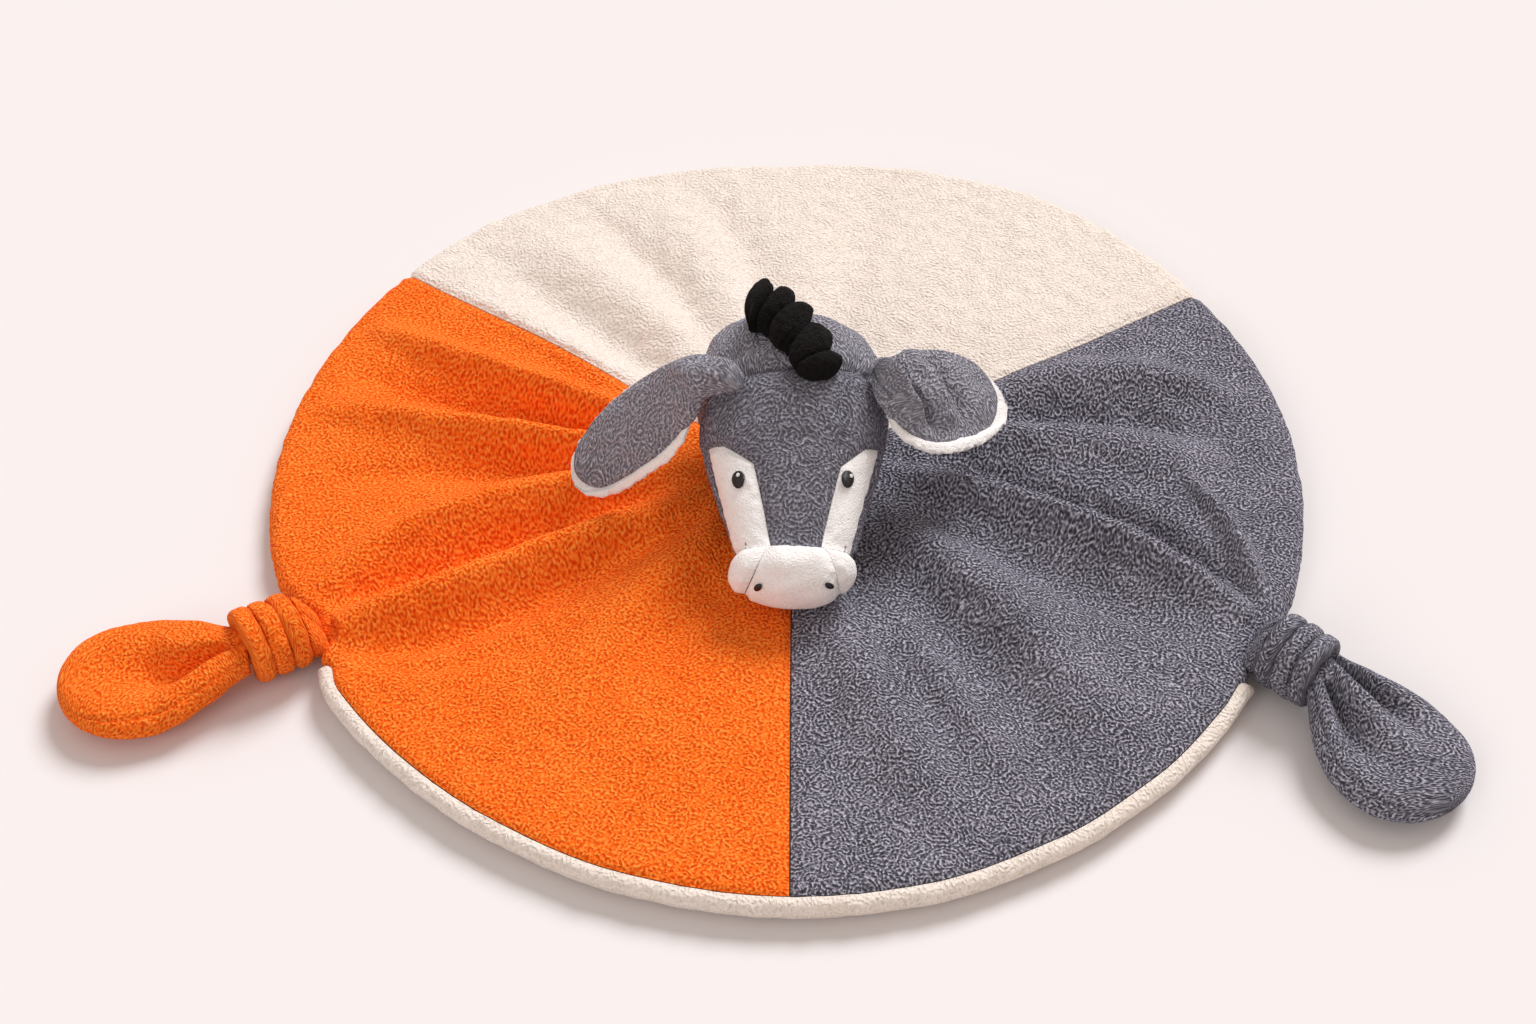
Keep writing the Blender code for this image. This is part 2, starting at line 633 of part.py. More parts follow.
def end_panel(name, spots, seam, end_share, mat, pivot):
    """A fabric panel over spots on one rounded end of the head."""
    def place(grid):
        pair = disc_places(grid, seam, end_share)
        return head_point(pair[..., 0], pair[..., 1])
    nudge = NUDGE_SHARE
    across = place(spots + (nudge, 0)) - place(spots - (nudge, 0))
    along = place(spots + (0, nudge)) - place(spots - (0, nudge))
    outward = unit(np.cross(across, along))
    middle = head_point(1 / 2, (0, UNDERSIDE)).mean(axis=0)
    points = place(spots)
    facing = np.sign(((points - middle) * outward).sum(axis=-1, keepdims=True))
    inner = points - outward * facing * FABRIC
    shell(name, drawn_in(points, SEAM_GAP), drawn_in(inner, SEAM_GAP), mat, pivot)


def stuffing(name, mat, pivot):
    """The stuffing that fills the head inside its panels."""
    rows = np.linspace(STUFFING_END_SHARE, 1 - STUFFING_END_SHARE, STUFFING_ROWS)
    turns = np.linspace(0, FULL_TURN, STUFFING_COLUMNS, endpoint=False)
    share, degrees = np.meshgrid(rows, turns, indexing="ij")
    points = head_point(share, degrees)
    rings = points - (FABRIC + STUFFING_GAP) * head_normal(share, degrees)
    skin(name, rings, mat, pivot)


def raised_spot(name, spot, size, dome, mat, pivot, lift=0.0):
    """A small domed oval stitched on the head, such as an eye."""
    share, degrees = spot
    centre = head_point(share, degrees)
    nudge, turn = NUDGE_SHARE, np.degrees(NUDGE_SHARE)
    per_share = np.linalg.norm(head_point(share + nudge, degrees) - centre) / nudge
    per_turn = np.linalg.norm(head_point(share, degrees + turn) - centre) / turn
    rings = []
    for reach in SPOT_REACH_SHARES:
        angle = np.linspace(0, 2 * pi, SPOT_SIDES, endpoint=False)
        shares = share + reach * size[1] / 2 * np.cos(angle) / per_share
        turns = degrees + reach * size[0] / 2 * np.sin(angle) / per_turn
        rings.append(np.stack([shares, turns], axis=-1))
    spots = np.array(rings)
    points = head_point(spots[..., 0], spots[..., 1])
    outward = head_normal(spots[..., 0], spots[..., 1])
    reach = np.array(SPOT_REACH_SHARES)[:, None, None]
    low = points + outward * (GAP + lift)
    high = low + outward * dome * np.sqrt(1 - (reach * SPOT_EDGE_SHARE) ** 2)
    shell(name, np.swapaxes(high, 0, 1), np.swapaxes(low, 0, 1), mat, pivot, wrap=True)


# Neck

def neck_axis():
    """Point that the head nods about, just under the blanket's top."""
    return np.array([0, 0, BLANKET_LOFT - NECK_AXIS_DEPTH])


def neck(name, mat, pivot):
    """The neck: a ball that the head sits on, sewn through the blanket."""
    share, degrees = np.meshgrid(np.linspace(0, 1, NECK_SAMPLES),
                                 np.linspace(0, FULL_TURN, NECK_SAMPLES), indexing="ij")
    reach = np.linalg.norm(head_point(share, degrees) - neck_axis(), axis=-1).min()
    ball = reach - GAP
    foot = BLANKET_LOFT + GAP
    stub = NECK_HOLE_RADIUS - SAFE_GAP
    low = np.arcsin((foot - neck_axis()[2]) / ball)
    turns = np.linspace(pi / 2, low, NECK_RINGS)
    radii = np.concatenate([ball * np.cos(turns[1:]), [stub, stub]])
    heights = neck_axis()[2] + np.concatenate([ball * np.sin(turns[1:]), [0, 0]])
    heights[-2] = foot
    heights[-1] = FABRIC + GAP + SAFE_GAP
    rings = [around(turn, radii, heights) for turn in
             np.linspace(0, FULL_TURN, NECK_SIDES, endpoint=False)]
    skin(name, np.swapaxes(np.array(rings), 0, 1), mat, pivot)


# Ears

def ear_root(root):
    """Centre of an ear's root, standing just off the head."""
    share, degrees, gap = root
    away = LINING_THICKNESS + gap
    return head_point(share, degrees) + head_normal(share, degrees) * away


def ear_layers(root, side, length, width, tip_clearance, shares):
    """Rings of an ear's outer fabric and of its lining, from root to tip."""
    start = ear_root(root)
    rows = np.array(shares, float)
    stations = np.linspace(0, 1, len(rows))
    t = np.linspace(0, 1, EAR_ROWS)
    reach, front, drop, wide, tilt = smooth_through(
        np.column_stack([stations, rows]), t).T
    tip_height = BLANKET_LOFT + FOLD_HEIGHT / 2 + LINING_THICKNESS + tip_clearance
    path = np.stack([start[0] + side * length * reach,
                     start[1] - length * front,
                     start[2] + (tip_height - start[2]) * drop], axis=-1)
    chord = unit(path[-1] - path[0])
    bend = unit(np.gradient(path, axis=0))
    along = unit(EAR_BEND_SHARE * bend + (1 - EAR_BEND_SHARE) * chord)
    level = unit(np.cross(along, np.array([0, 0, 1])) * side)
    up = unit(np.cross(level, along) * -side)
    up = up * np.sign(up[:, 2:3])
    turn = np.radians(tilt)[:, None]
    across = level * np.cos(turn) - up * np.sin(turn)
    up = level * np.sin(turn) + up * np.cos(turn)
    half = width * wide / 2
    outer, lining = [], []
    for i in range(EAR_ROWS):
        edge = np.linspace(-1, 1, EAR_COLUMNS)
        crown = np.sqrt(np.clip(1 - edge ** 2, 0, 1))
        hem = half[i] - LINING_BORDER * min(1, wide[i]) - GAP
        upper = np.stack([edge * (half[i] + hem) / 2 - (half[i] - hem) / 2,
                          GAP / 2 + EAR_THICKNESS * crown], axis=-1)
        lower = np.stack([upper[::-1, 0], np.full(EAR_COLUMNS, GAP / 2)], axis=-1)
        outer.append(path[i] + across[i] * np.vstack([upper, lower[1:-1]])[:, :1]
                     + up[i] * np.vstack([upper, lower[1:-1]])[:, 1:])
        pile = np.stack([edge[::-1] * half[i], -GAP / 2 - LINING_THICKNESS * crown], axis=-1)
        flat = np.stack([edge * half[i], np.full(EAR_COLUMNS, -GAP / 2)], axis=-1)
        ring = np.vstack([pile, flat[1:-1]])
        lining.append(path[i] + across[i] * ring[:, :1] + up[i] * ring[:, 1:])
    return np.array(outer), np.array(lining)


def ear(name, layers, outer_mat, lining_mat, pivot):
    """An ear: grey fabric outside, thick white pile inside."""
    outer, lining = layers
    skin(name + "_outer", outer, outer_mat, pivot)
    skin(name + "_lining", lining, lining_mat, pivot)


# Tuft

def tuft(name, mat, pivot):
    """The black tuft: one twisted roll of fabric, sewn on the crown."""
    rows = np.array(TUFT_SHARES)
    stations = np.linspace(0, 1, len(rows))
    t = np.linspace(0, 1, TUFT_LOBES * TUFT_LOBE_ROWS + 1)
    share, degrees, lift = smooth_through(np.column_stack([stations, rows]), t).T
    normal = head_normal(share, degrees)
    height = TUFT_RADIUS * TUFT_FLAT_SHARE + TUFT_SEAT + lift * TUFT_LIFT
    path = head_point(share, degrees) + normal * height[:, None]
    along = unit(np.gradient(path, axis=0))
    across = unit(np.cross(along, normal))
    up = np.cross(across, along)
    angle = np.linspace(0, 2 * pi, TUFT_SIDES, endpoint=False)
    rings = []
    for i, place in enumerate(t):
        twist = pi * (place * TUFT_LOBES) + angle / 2 * TUFT_SKEW_SHARE * np.sin(angle)
        lobe = TUFT_WAIST_SHARE + (1 - TUFT_WAIST_SHARE) * np.abs(np.sin(twist))
        ends = min(1, (min(place, 1 - place) * TUFT_END_SHARE) ** (1 / 2) + TUFT_TIP_SHARE)
        reach = TUFT_RADIUS * lobe * ends
        rings.append(path[i] + np.outer(reach * np.cos(angle), across[i])
                     + np.outer(reach * np.sin(angle) * TUFT_FLAT_SHARE, up[i]))
    skin(name, np.array(rings), mat, pivot)


# Knots

def knot_frame(knot):
    """Point on the roll's centre line, the knot's start, and its ways out and aside."""
    root, turn = knot[0], radians(knot[1])
    centre = around(root, np.array([roll_centre(root)]), np.array([EDGE_HEIGHT / 2]))[0]
    radial = np.array([cos(radians(root)), sin(radians(root)), 0])
    outward = np.array([cos(turn), sin(turn), 0])
    sideways = np.array([-sin(turn), cos(turn), 0])
    start = centre + radial * (EDGE_HEIGHT / 2 + SAFE_GAP + KNOT_ROOT_LENGTH)
    start[2] = KNOT_RADIUS + FLOOR_GAP
    return centre, radial, start, outward, sideways


def knot_length():
    """Length of the wound wrap along its axis."""
    return KNOT_TURNS * (KNOT_BAND + KNOT_TURN_GAP) + KNOT_BAND * KNOT_END_SHARE


def tail_joint(knot):
    """Point on the knot's centre line where the tail starts."""
    _, _, start, outward, _ = knot_frame(knot)
    return start + outward * (KNOT_BEND_LENGTH + knot_length() + GAP)


def tail_axis(knot):
    """Point that the tail lifts about, on top of the end of the knot's core."""
    return tail_joint(knot) + np.array([0, 0, KNOT_CORE_RADIUS])


def knot_core(name, knot, mat, pivot):
    """The gathered fabric that leaves the edge and runs through the knot."""
    centre, radial, start, outward, _ = knot_frame(knot)
    first = centre + radial * (EDGE_HEIGHT / 2 + SAFE_GAP)
    bent = start + outward * KNOT_BEND_LENGTH
    last = tail_joint(knot) - outward * TAIL_JOINT_GAP
    middle = (first + start) / 2
    wide, tall, core = KNOT_ROOT_WIDTH / 2, KNOT_ROOT_HEIGHT / 2, KNOT_CORE_RADIUS
    stops = (
        (0, *first, wide, tall),
        (1, *middle, (wide + core) / 2, (tall + core) / 2),
        (2, *bent, core, core),
        (3, *((bent + last) / 2), core, core),
        (4, *last, core, core),
    )
    rows = smooth_through(stops, np.linspace(0, 4, CORE_ROWS))
    path = rows[:, :3]
    ways = np.gradient(path, axis=0) * (1, 1, 0)
    ways[0] = radial
    ways[CORE_ROWS // 2:] = outward
    asides = unit(np.stack([-ways[:, 1], ways[:, 0], ways[:, 2]], axis=-1))
    angle = np.linspace(0, 2 * pi, CORE_SIDES, endpoint=False)
    rings = []
    for i in range(CORE_ROWS):
        ring = path[i] + np.outer(np.cos(angle) * rows[i, 3], asides[i])
        ring[:, 2] += np.sin(angle) * rows[i, 4]
        rings.append(ring)
    skin(name, np.array(rings), mat, pivot)


def knot_wrap(name, knot, mat, pivot):
    """The fabric wound round the knot: one flattened strip in open turns."""
    _, _, start, outward, sideways = knot_frame(knot)
    inner = KNOT_CORE_RADIUS + KNOT_CORE_GAP
    half_thick = (KNOT_RADIUS - inner) / 2
    middle = inner + half_thick
    pitch = KNOT_BAND + KNOT_TURN_GAP
    count = int(KNOT_TURNS * LOOP_POINTS) + 1
    t = np.linspace(0, 1, count)
    angle = 2 * pi * KNOT_TURNS * t + KNOT_PHASE
    ends = np.clip(np.minimum(t, 1 - t) * KNOT_TURNS / KNOT_TAPER_TURNS, 0, 1)
    taper = KNOT_END_SHARE + (1 - KNOT_END_SHARE) * np.sin(ends * pi / 2)
    half_band = KNOT_BAND / 2 * taper
    along = KNOT_BEND_LENGTH + KNOT_BAND * KNOT_END_SHARE / 2 + pitch * KNOT_TURNS * t
    out = np.outer(np.cos(angle), sideways) + np.outer(np.sin(angle), (0, 0, 1))
    round_way = np.outer(-np.sin(angle), sideways) + np.outer(np.cos(angle), (0, 0, 1))
    lean = np.arctan(pitch / (2 * pi * middle))
    side_way = outward * cos(lean) - round_way * sin(lean)
    path = start + np.outer(along, outward) + out * middle
    turn = np.linspace(0, 2 * pi, BAND_SIDES, endpoint=False)
    square = 2 / BAND_SQUARENESS
    cross = np.sign(np.cos(turn)) * np.abs(np.cos(turn)) ** square
    thick = np.sign(np.sin(turn)) * np.abs(np.sin(turn)) ** square
    rings = (path[:, None] + side_way[:, None] * (half_band[:, None] * cross)[..., None]
             + out[:, None] * (half_thick * thick)[None, :, None])
    skin(name, rings, mat, pivot)
    print(name, "least gap to itself, mm:", round(least_gap(rings, path) * 1000, 2))


def least_gap(rings, path):
    """Least distance between turns, from each ring to the rings a turn away."""
    least = np.inf
    for i, ring in enumerate(rings):
        far = rings[i + LOOP_POINTS - LOOP_POINTS // 4:].reshape(-1, 3)
        if len(far):
            apart = np.linalg.norm(ring[:, None] - far[None], axis=-1)
            least = min(least, apart.min())
    return least


def tail(name, knot, creases, mat, pivot):
    """A knot's tail: a plump leaf of fabric with a hollow crease or two."""
    root = tail_joint(knot)
    turn = radians(knot[2])
    outward = np.array([cos(turn), sin(turn), 0])
    sideways = np.array([-sin(turn), cos(turn), 0])
    rows = np.array(TAIL_SHARES)
    t = np.linspace(0, 1, TAIL_ROWS)
    along, wide, thick = smooth_through(
        np.column_stack([np.linspace(0, 1, len(rows)), rows]), t).T
    angle = np.linspace(0, 2 * pi, TAIL_SIDES, endpoint=False)
    rest = TAIL_THICKNESS / 2 + FLOOR_GAP
    rings = []
    for i in range(TAIL_ROWS):
        across = np.cos(angle)
        crest = np.sin(angle)
        hollow = np.cos(pi * across * creases) ** 2 if creases > 1 else 1 - across ** 2
        hollow = hollow if creases == 1 else 1 - hollow
        fade = np.sin(pi * t[i]) * TAIL_CREASE_SHARE
        lifted = crest * (1 - fade * hollow * (crest > 0))
        level = root[2] + (rest - root[2]) * min(1, t[i] * 2)
        ring = root + outward * (TAIL_LENGTH * along[i] + TAIL_JOINT_GAP)
        ring = ring + np.outer(across * TAIL_WIDTH / 2 * wide[i], sideways)
        ring[:, 2] = level + lifted * TAIL_THICKNESS / 2 * thick[i]
        rings.append(ring)
    skin(name, np.array(rings), mat, pivot)


def build():
    """Model the whole comforter."""
    for obj in list(bpy.data.objects):
        bpy.data.objects.remove(obj)
    orange = material("orange_plush", "#f46f22", 0.9)
    grey = material("grey_plush", "#77747d", 0.9)
    cream = material("cream_plush", "#f5e9e0", 0.95)
    white = material("white_plush", "#ebe2e0", 0.95)
    black = material("black_plush", "#211c1d", 0.85)
    thread = material("black_thread", "#0d0b0c", 0.5)
    bright = material("white_thread", "#f4f4f4", 0.5)
    fill = material("polyester_wadding", "#f4f2ee", 1.0)

    blanket = empty("blanket_frame", (0, 0, 0))
    fabric_sector("orange_panel", SEAM_ORANGE_CREAM, SEAM_ORANGE_GREY, orange, blanket)
    fabric_sector("grey_panel", SEAM_ORANGE_GREY, SEAM_GREY_CREAM, grey, blanket)
    fabric_sector("cream_panel", SEAM_GREY_CREAM - FULL_TURN, SEAM_ORANGE_CREAM,
                  cream, blanket)
    backing("backing_panel", cream, blanket)
    wadding("blanket_wadding", fill, blanket)

    neck_turn = empty("neck_turn_axis", neck_axis(), blanket)
    head_nod = empty("head_nod_axis", neck_axis(), neck_turn)
    neck("neck", grey, neck_turn)
    for side, word, eye, nostril in zip((-1, 1), ("left", "right"), EYE_SHARES, NOSTRIL_SHARES):
        spots = end_side(CROWN_CHORD_SHARE, side, END_ROWS, END_COLUMNS)
        end_panel(word + "_crown_panel", spots, crown_seam, 0, grey, head_nod)
        cheek(word + "_cheek_panel", side, white, head_nod)
        jaw(word + "_jaw_panel", side, grey, head_nod)
        spots = end_side(MUZZLE_BELT_SHARE, side, END_ROWS, END_COLUMNS)
        end_panel(word + "_muzzle_panel", spots, muzzle_seam, 1, white, head_nod)
        raised_spot(word + "_eye", eye, (EYE_WIDTH, EYE_HEIGHT), EYE_DOME, thread, head_nod)
        raised_spot(word + "_eye_glint", eye, (GLINT_SIZE, GLINT_SIZE), GLINT_DOME,
                    bright, head_nod, EYE_DOME + GAP)
        raised_spot(word + "_nostril", nostril, (NOSTRIL_WIDTH, NOSTRIL_HEIGHT), NOSTRIL_DOME,
                    thread, head_nod)
    forehead("forehead_panel", grey, head_nod)
    spots = end_belt(MUZZLE_BELT_SHARE, END_COLUMNS + END_ROWS, BROW_ROWS)
    end_panel("muzzle_centre_panel", spots, muzzle_seam, 1, white, head_nod)
    stuffing("head_stuffing", fill, head_nod)
    tuft("mane_tuft", black, head_nod)

    left_lift = empty("left_ear_axis", ear_root(LEFT_EAR_ROOT), head_nod)
    right_lift = empty("right_ear_axis", ear_root(RIGHT_EAR_ROOT), head_nod)
    ear("left_ear", ear_layers(LEFT_EAR_ROOT, -1, LEFT_EAR_LENGTH, LEFT_EAR_WIDTH,
                               LEFT_EAR_TIP_CLEARANCE, LEFT_EAR_SHARES),
        grey, white, left_lift)
    ear("right_ear", ear_layers(RIGHT_EAR_ROOT, 1, RIGHT_EAR_LENGTH, RIGHT_EAR_WIDTH,
                                RIGHT_EAR_TIP_CLEARANCE, RIGHT_EAR_SHARES),
        grey, white, right_lift)

    for word, knot, creases, mat in (("orange", ORANGE_KNOT, ORANGE_TAIL_CREASES, orange),
                                     ("grey", GREY_KNOT, GREY_TAIL_CREASES, grey)):
        knot_lift = empty(word + "_knot_axis", knot_frame(knot)[0], blanket)
        tail_lift = empty(word + "_tail_axis", tail_axis(knot), knot_lift)
        knot_core(word + "_knot_core", knot, mat, knot_lift)
        knot_wrap(word + "_knot_wrap", knot, mat, knot_lift)
        tail(word + "_tail", knot, creases, mat, tail_lift)


build()
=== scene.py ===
"""Comfort blanket with a stuffed donkey head: the visual model, as a lesson in cells.

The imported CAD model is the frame. Every soft solid in it is replaced here by a
surface worked out with numpy, and every surface wears a plush made from nodes.
"""

# %% [markdown]
# The frame comes first. It brings in the imported CAD model.

# %% Load the frame
import bpy
import numpy as np
from functools import partial
from math import cos, pi, radians, sin
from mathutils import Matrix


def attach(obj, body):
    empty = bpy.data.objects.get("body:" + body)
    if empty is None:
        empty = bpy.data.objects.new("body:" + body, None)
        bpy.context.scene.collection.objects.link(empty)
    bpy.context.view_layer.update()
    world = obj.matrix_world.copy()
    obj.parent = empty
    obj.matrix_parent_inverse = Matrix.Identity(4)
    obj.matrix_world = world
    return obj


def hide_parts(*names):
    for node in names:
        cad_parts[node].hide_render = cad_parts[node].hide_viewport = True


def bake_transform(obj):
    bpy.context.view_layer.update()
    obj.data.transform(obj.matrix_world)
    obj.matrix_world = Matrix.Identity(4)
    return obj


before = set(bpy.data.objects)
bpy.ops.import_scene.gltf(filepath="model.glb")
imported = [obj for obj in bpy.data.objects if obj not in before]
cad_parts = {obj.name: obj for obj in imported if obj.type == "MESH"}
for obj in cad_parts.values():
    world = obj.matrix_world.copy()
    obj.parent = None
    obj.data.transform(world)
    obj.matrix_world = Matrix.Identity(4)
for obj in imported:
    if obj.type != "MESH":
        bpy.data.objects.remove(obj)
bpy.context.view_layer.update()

# %% [markdown]
# The photograph looks down on the toy at about 46 degrees from a metre away. The
# place and the lens were worked out from the round outline of the blanket. A
# sun lamp with a wide disc gives even, soft light without falling off over the
# floor, a weak one from the front left lifts the near sides, and a nearly white
# world fills the shadows. Together they light a level surface to about one, so a
# colour renders about as it is written.

# %% Camera, light and floor
CAMERA_PLACE = (-0.00826, -0.71486, 0.72324)
CAMERA_DOWN = radians(45.6)
FRAME_WIDTH = 1536
FOCAL_PIXELS = 2881.5
SENSOR = 36
SUN_DISC = radians(26)
SUN_LEVEL = 0.63
WORLD_LEVEL = 0.57
SUN_TILT = radians(46)
SUN_TURN = radians(148)
FILL_LEVEL = 0.085
FILL_TILT = radians(58)
FILL_TURN = radians(-38)
FLOOR_SIZE = 6.0
FLOOR_DROP = 0.0004


def linear(text):
    """Turn an sRGB hex colour into the linear values a shader takes."""
    parts = np.array([int(text[i:i + 2], 16) / 255 for i in (1, 3, 5)])
    values = np.where(parts <= 0.04045, parts / 12.92, ((parts + 0.055) / 1.055) ** 2.4)
    return (*values.tolist(), 1.0)


def add_node(tree, kind, inputs=(), **settings):
    """Add one node. Settings are its options, inputs its sockets' values or links."""
    node = tree.nodes.new(kind)
    for key, value in settings.items():
        setattr(node, key, value)
    for key, value in dict(inputs).items():
        if isinstance(value, bpy.types.NodeSocket):
            tree.links.new(value, node.inputs[key])
        else:
            node.inputs[key].default_value = value
    return node


def new_material(name, **sockets):
    """A material whose shader sockets take values, and its node tree.

    An underscore in a socket's name stands for a space.
    """
    mat = bpy.data.materials.new(name)
    mat.use_nodes = True
    for socket, value in sockets.items():
        shader = mat.node_tree.nodes["Principled BSDF"]
        shader.inputs[socket.replace("_", " ")].default_value = value
    return mat, mat.node_tree


scene = bpy.context.scene
lens = bpy.data.cameras.new("photo_camera")
lens.sensor_width = SENSOR
lens.lens = FOCAL_PIXELS / FRAME_WIDTH * SENSOR
camera = bpy.data.objects.new("photo_camera", lens)
camera.location = CAMERA_PLACE
camera.rotation_euler = (pi / 2 - CAMERA_DOWN, 0, 0)
scene.collection.objects.link(camera)
scene.camera = camera
scene.view_settings.view_transform = "Standard"

for name, level, tilt, turn in (("softbox_sun", SUN_LEVEL, SUN_TILT, SUN_TURN),
                                ("front_fill", FILL_LEVEL, FILL_TILT, FILL_TURN)):
    sun = bpy.data.lights.new(name, "SUN")
    sun.angle = SUN_DISC
    sun.energy = level * pi / cos(tilt)
    sun.color = linear("#f9fcff")[:3]
    lamp = bpy.data.objects.new(name, sun)
    lamp.rotation_euler = (tilt, 0, turn)
    scene.collection.objects.link(lamp)

world = bpy.data.worlds.new("studio")
world.use_nodes = True
backdrop = world.node_tree.nodes["Background"]
backdrop.inputs["Color"].default_value = linear("#fff3ea")
backdrop.inputs["Strength"].default_value = WORLD_LEVEL
scene.world = world

paper, _ = new_material("matt_paper_floor", Base_Color=linear("#e4dfdf"), Roughness=1,
                        Specular_IOR_Level=0)
sheet = bpy.data.meshes.new("floor")
sheet.from_pydata([(x * FLOOR_SIZE / 2, y * FLOOR_SIZE / 2, -FLOOR_DROP)
                   for x, y in ((-1, -1), (1, -1), (1, 1), (-1, 1))], [], [(0, 1, 2, 3)])
sheet.materials.append(paper)
floor = bpy.data.objects.new("floor", sheet)
scene.collection.objects.link(floor)
print("lens, mm:", round(lens.lens, 2))

# %% [markdown]
# Every plush here is knitted polyester that was embossed and brushed: short
# curled ridges like worms, 1.5 to 2 mm from one to the next, some bent into
# rosettes about 1 cm across. The same pattern that raises the ridges ramps the
# colour: the grooves are darker, partly their deeper colour and partly painted
# shade, and the ridges lighter, painted light. Gabor noise gives worms of one
# width in every direction, and rings round the points of a bent Voronoi pattern
# give the rosettes. Both read a UV map that is measured in millimetres on the
# cloth, so the pattern has its real size on each piece and moves with it. The
# sheen is the soft glow of the fibre tips seen from the side.

# %% Plush from nodes
FIBRE_MM = 0.35
MOTTLE_MM = 28
PLUSH_RELIEF = 0.0009


def colour_and_bump(tree, shade, colours, height, strength, distance):
    """Ramp a shade through its colours, and raise the bump of a height."""
    add = partial(add_node, tree)
    ramp = add("ShaderNodeValToRGB", {"Fac": shade})
    stops = ramp.color_ramp.elements
    stops[0].color, stops[1].color = linear(colours[0]), linear(colours[-1])
    for colour in colours[1:-1]:
        stops.new(0.5).color = linear(colour)
    bump = add("ShaderNodeBump", {"Height": height, "Strength": strength, "Distance": distance})
    shader = tree.nodes["Principled BSDF"]
    tree.links.new(ramp.outputs["Color"], shader.inputs["Base Color"])
    tree.links.new(bump.outputs["Normal"], shader.inputs["Normal"])


def plush(name, colours, worm_mm, rosette_mm, rings, worms, sheen, relief):
    """A brushed, embossed plush. Its colour and bump follow one height pattern,
    so the grooves carry painted shade and the ridges painted light.

    Height is a half, plus rings times the sine of the distance from the nearest
    rosette's middle, plus worms times a Gabor noise about its mean.
    """
    mat, tree = new_material(name, Roughness=0.95, Specular_IOR_Level=0.15, Sheen_Weight=sheen,
                             Sheen_Roughness=0.45, Sheen_Tint=linear(colours[2]))
    add = partial(add_node, tree)
    cloth = add("ShaderNodeUVMap", uv_map="cloth_mm").outputs["UV"]
    drift = add("ShaderNodeTexNoise", {"Vector": cloth, "Scale": 1 / (rosette_mm * 0.7),
                                       "Detail": 1.0}, noise_dimensions="2D").outputs["Color"]
    bent = add("ShaderNodeVectorMath", {0: drift, 1: (rosette_mm * 0.45,) * 3, 2: cloth},
               operation="MULTIPLY_ADD").outputs[0]
    cell = add("ShaderNodeTexVoronoi", {"Vector": bent, "Scale": 1 / rosette_mm},
               voronoi_dimensions="2D", feature="F1").outputs["Distance"]
    turns = add("ShaderNodeMath", {0: cell, 1: rosette_mm / worm_mm * 2 * pi},
                operation="MULTIPLY").outputs[0]
    wave = add("ShaderNodeMath", {0: turns}, operation="SINE").outputs[0]
    arcs = add("ShaderNodeMath", {0: wave, 1: rings, 2: 0.5}, operation="MULTIPLY_ADD").outputs[0]
    curl = add("ShaderNodeTexNoise", {"Vector": cloth, "Scale": 1 / (worm_mm * 1.6)},
               noise_dimensions="2D").outputs["Color"]
    curled = add("ShaderNodeVectorMath", {0: curl, 1: (worm_mm * 0.8,) * 3, 2: cloth},
                 operation="MULTIPLY_ADD").outputs[0]
    gabor = add("ShaderNodeTexGabor", {"Vector": curled, "Scale": 1 / (worm_mm * 0.92),
                                       "Frequency": 1.0, "Anisotropy": 0.0},
                gabor_type="2D").outputs["Value"]
    level = add("ShaderNodeMath", {0: gabor, 1: 0.5}, operation="SUBTRACT").outputs[0]
    height = add("ShaderNodeMath", {0: level, 1: worms, 2: arcs}, operation="MULTIPLY_ADD",
                 use_clamp=True).outputs[0]
    fibre = add("ShaderNodeTexNoise", {"Vector": cloth, "Scale": 1 / FIBRE_MM, "Detail": 2.0},
                noise_dimensions="2D").outputs["Fac"]
    patch = add("ShaderNodeTexNoise", {"Vector": cloth, "Scale": 1 / MOTTLE_MM, "Detail": 3.0},
                noise_dimensions="2D").outputs["Fac"]
    tint = add("ShaderNodeMath", {0: fibre, 1: 0.26, 2: -0.13},
               operation="MULTIPLY_ADD").outputs[0]
    mottle = add("ShaderNodeMath", {0: patch, 1: 0.3, 2: -0.15},
                 operation="MULTIPLY_ADD").outputs[0]
    shade = add("ShaderNodeMath", {0: height, 1: tint}, operation="ADD").outputs[0]
    shade = add("ShaderNodeMath", {0: shade, 1: mottle}, operation="ADD").outputs[0]
    pile = add("ShaderNodeMath", {0: fibre, 1: 0.25, 2: height},
               operation="MULTIPLY_ADD").outputs[0]
    # The height pattern ramps the colour: painted shade in the grooves, painted light on the
    # ridges.
    colour_and_bump(tree, shade, colours, pile, relief, PLUSH_RELIEF)
    return mat


# Colours run from groove to ridge: the darkest is partly the grooves' deeper colour and partly
# painted shade, the lightest is painted light on the ridges.
ORANGE = plush("embossed_orange_plush", ("#da4200", "#fb6e18", "#ff943c"),
               1.75, 9.0, 0.16, 2.4, 0.12, 0.6)
GREY = plush("embossed_grey_plush", ("#37353d", "#75727f", "#bcb9c7"),
             1.6, 9.5, 0.26, 2.4, 0.25, 1.1)
HEAD_GREY = plush("soft_grey_plush", ("#52505a", "#7a7783", "#aaa7b3"),
                  1.7, 10.0, 0.28, 2.3, 0.60, 1.3)
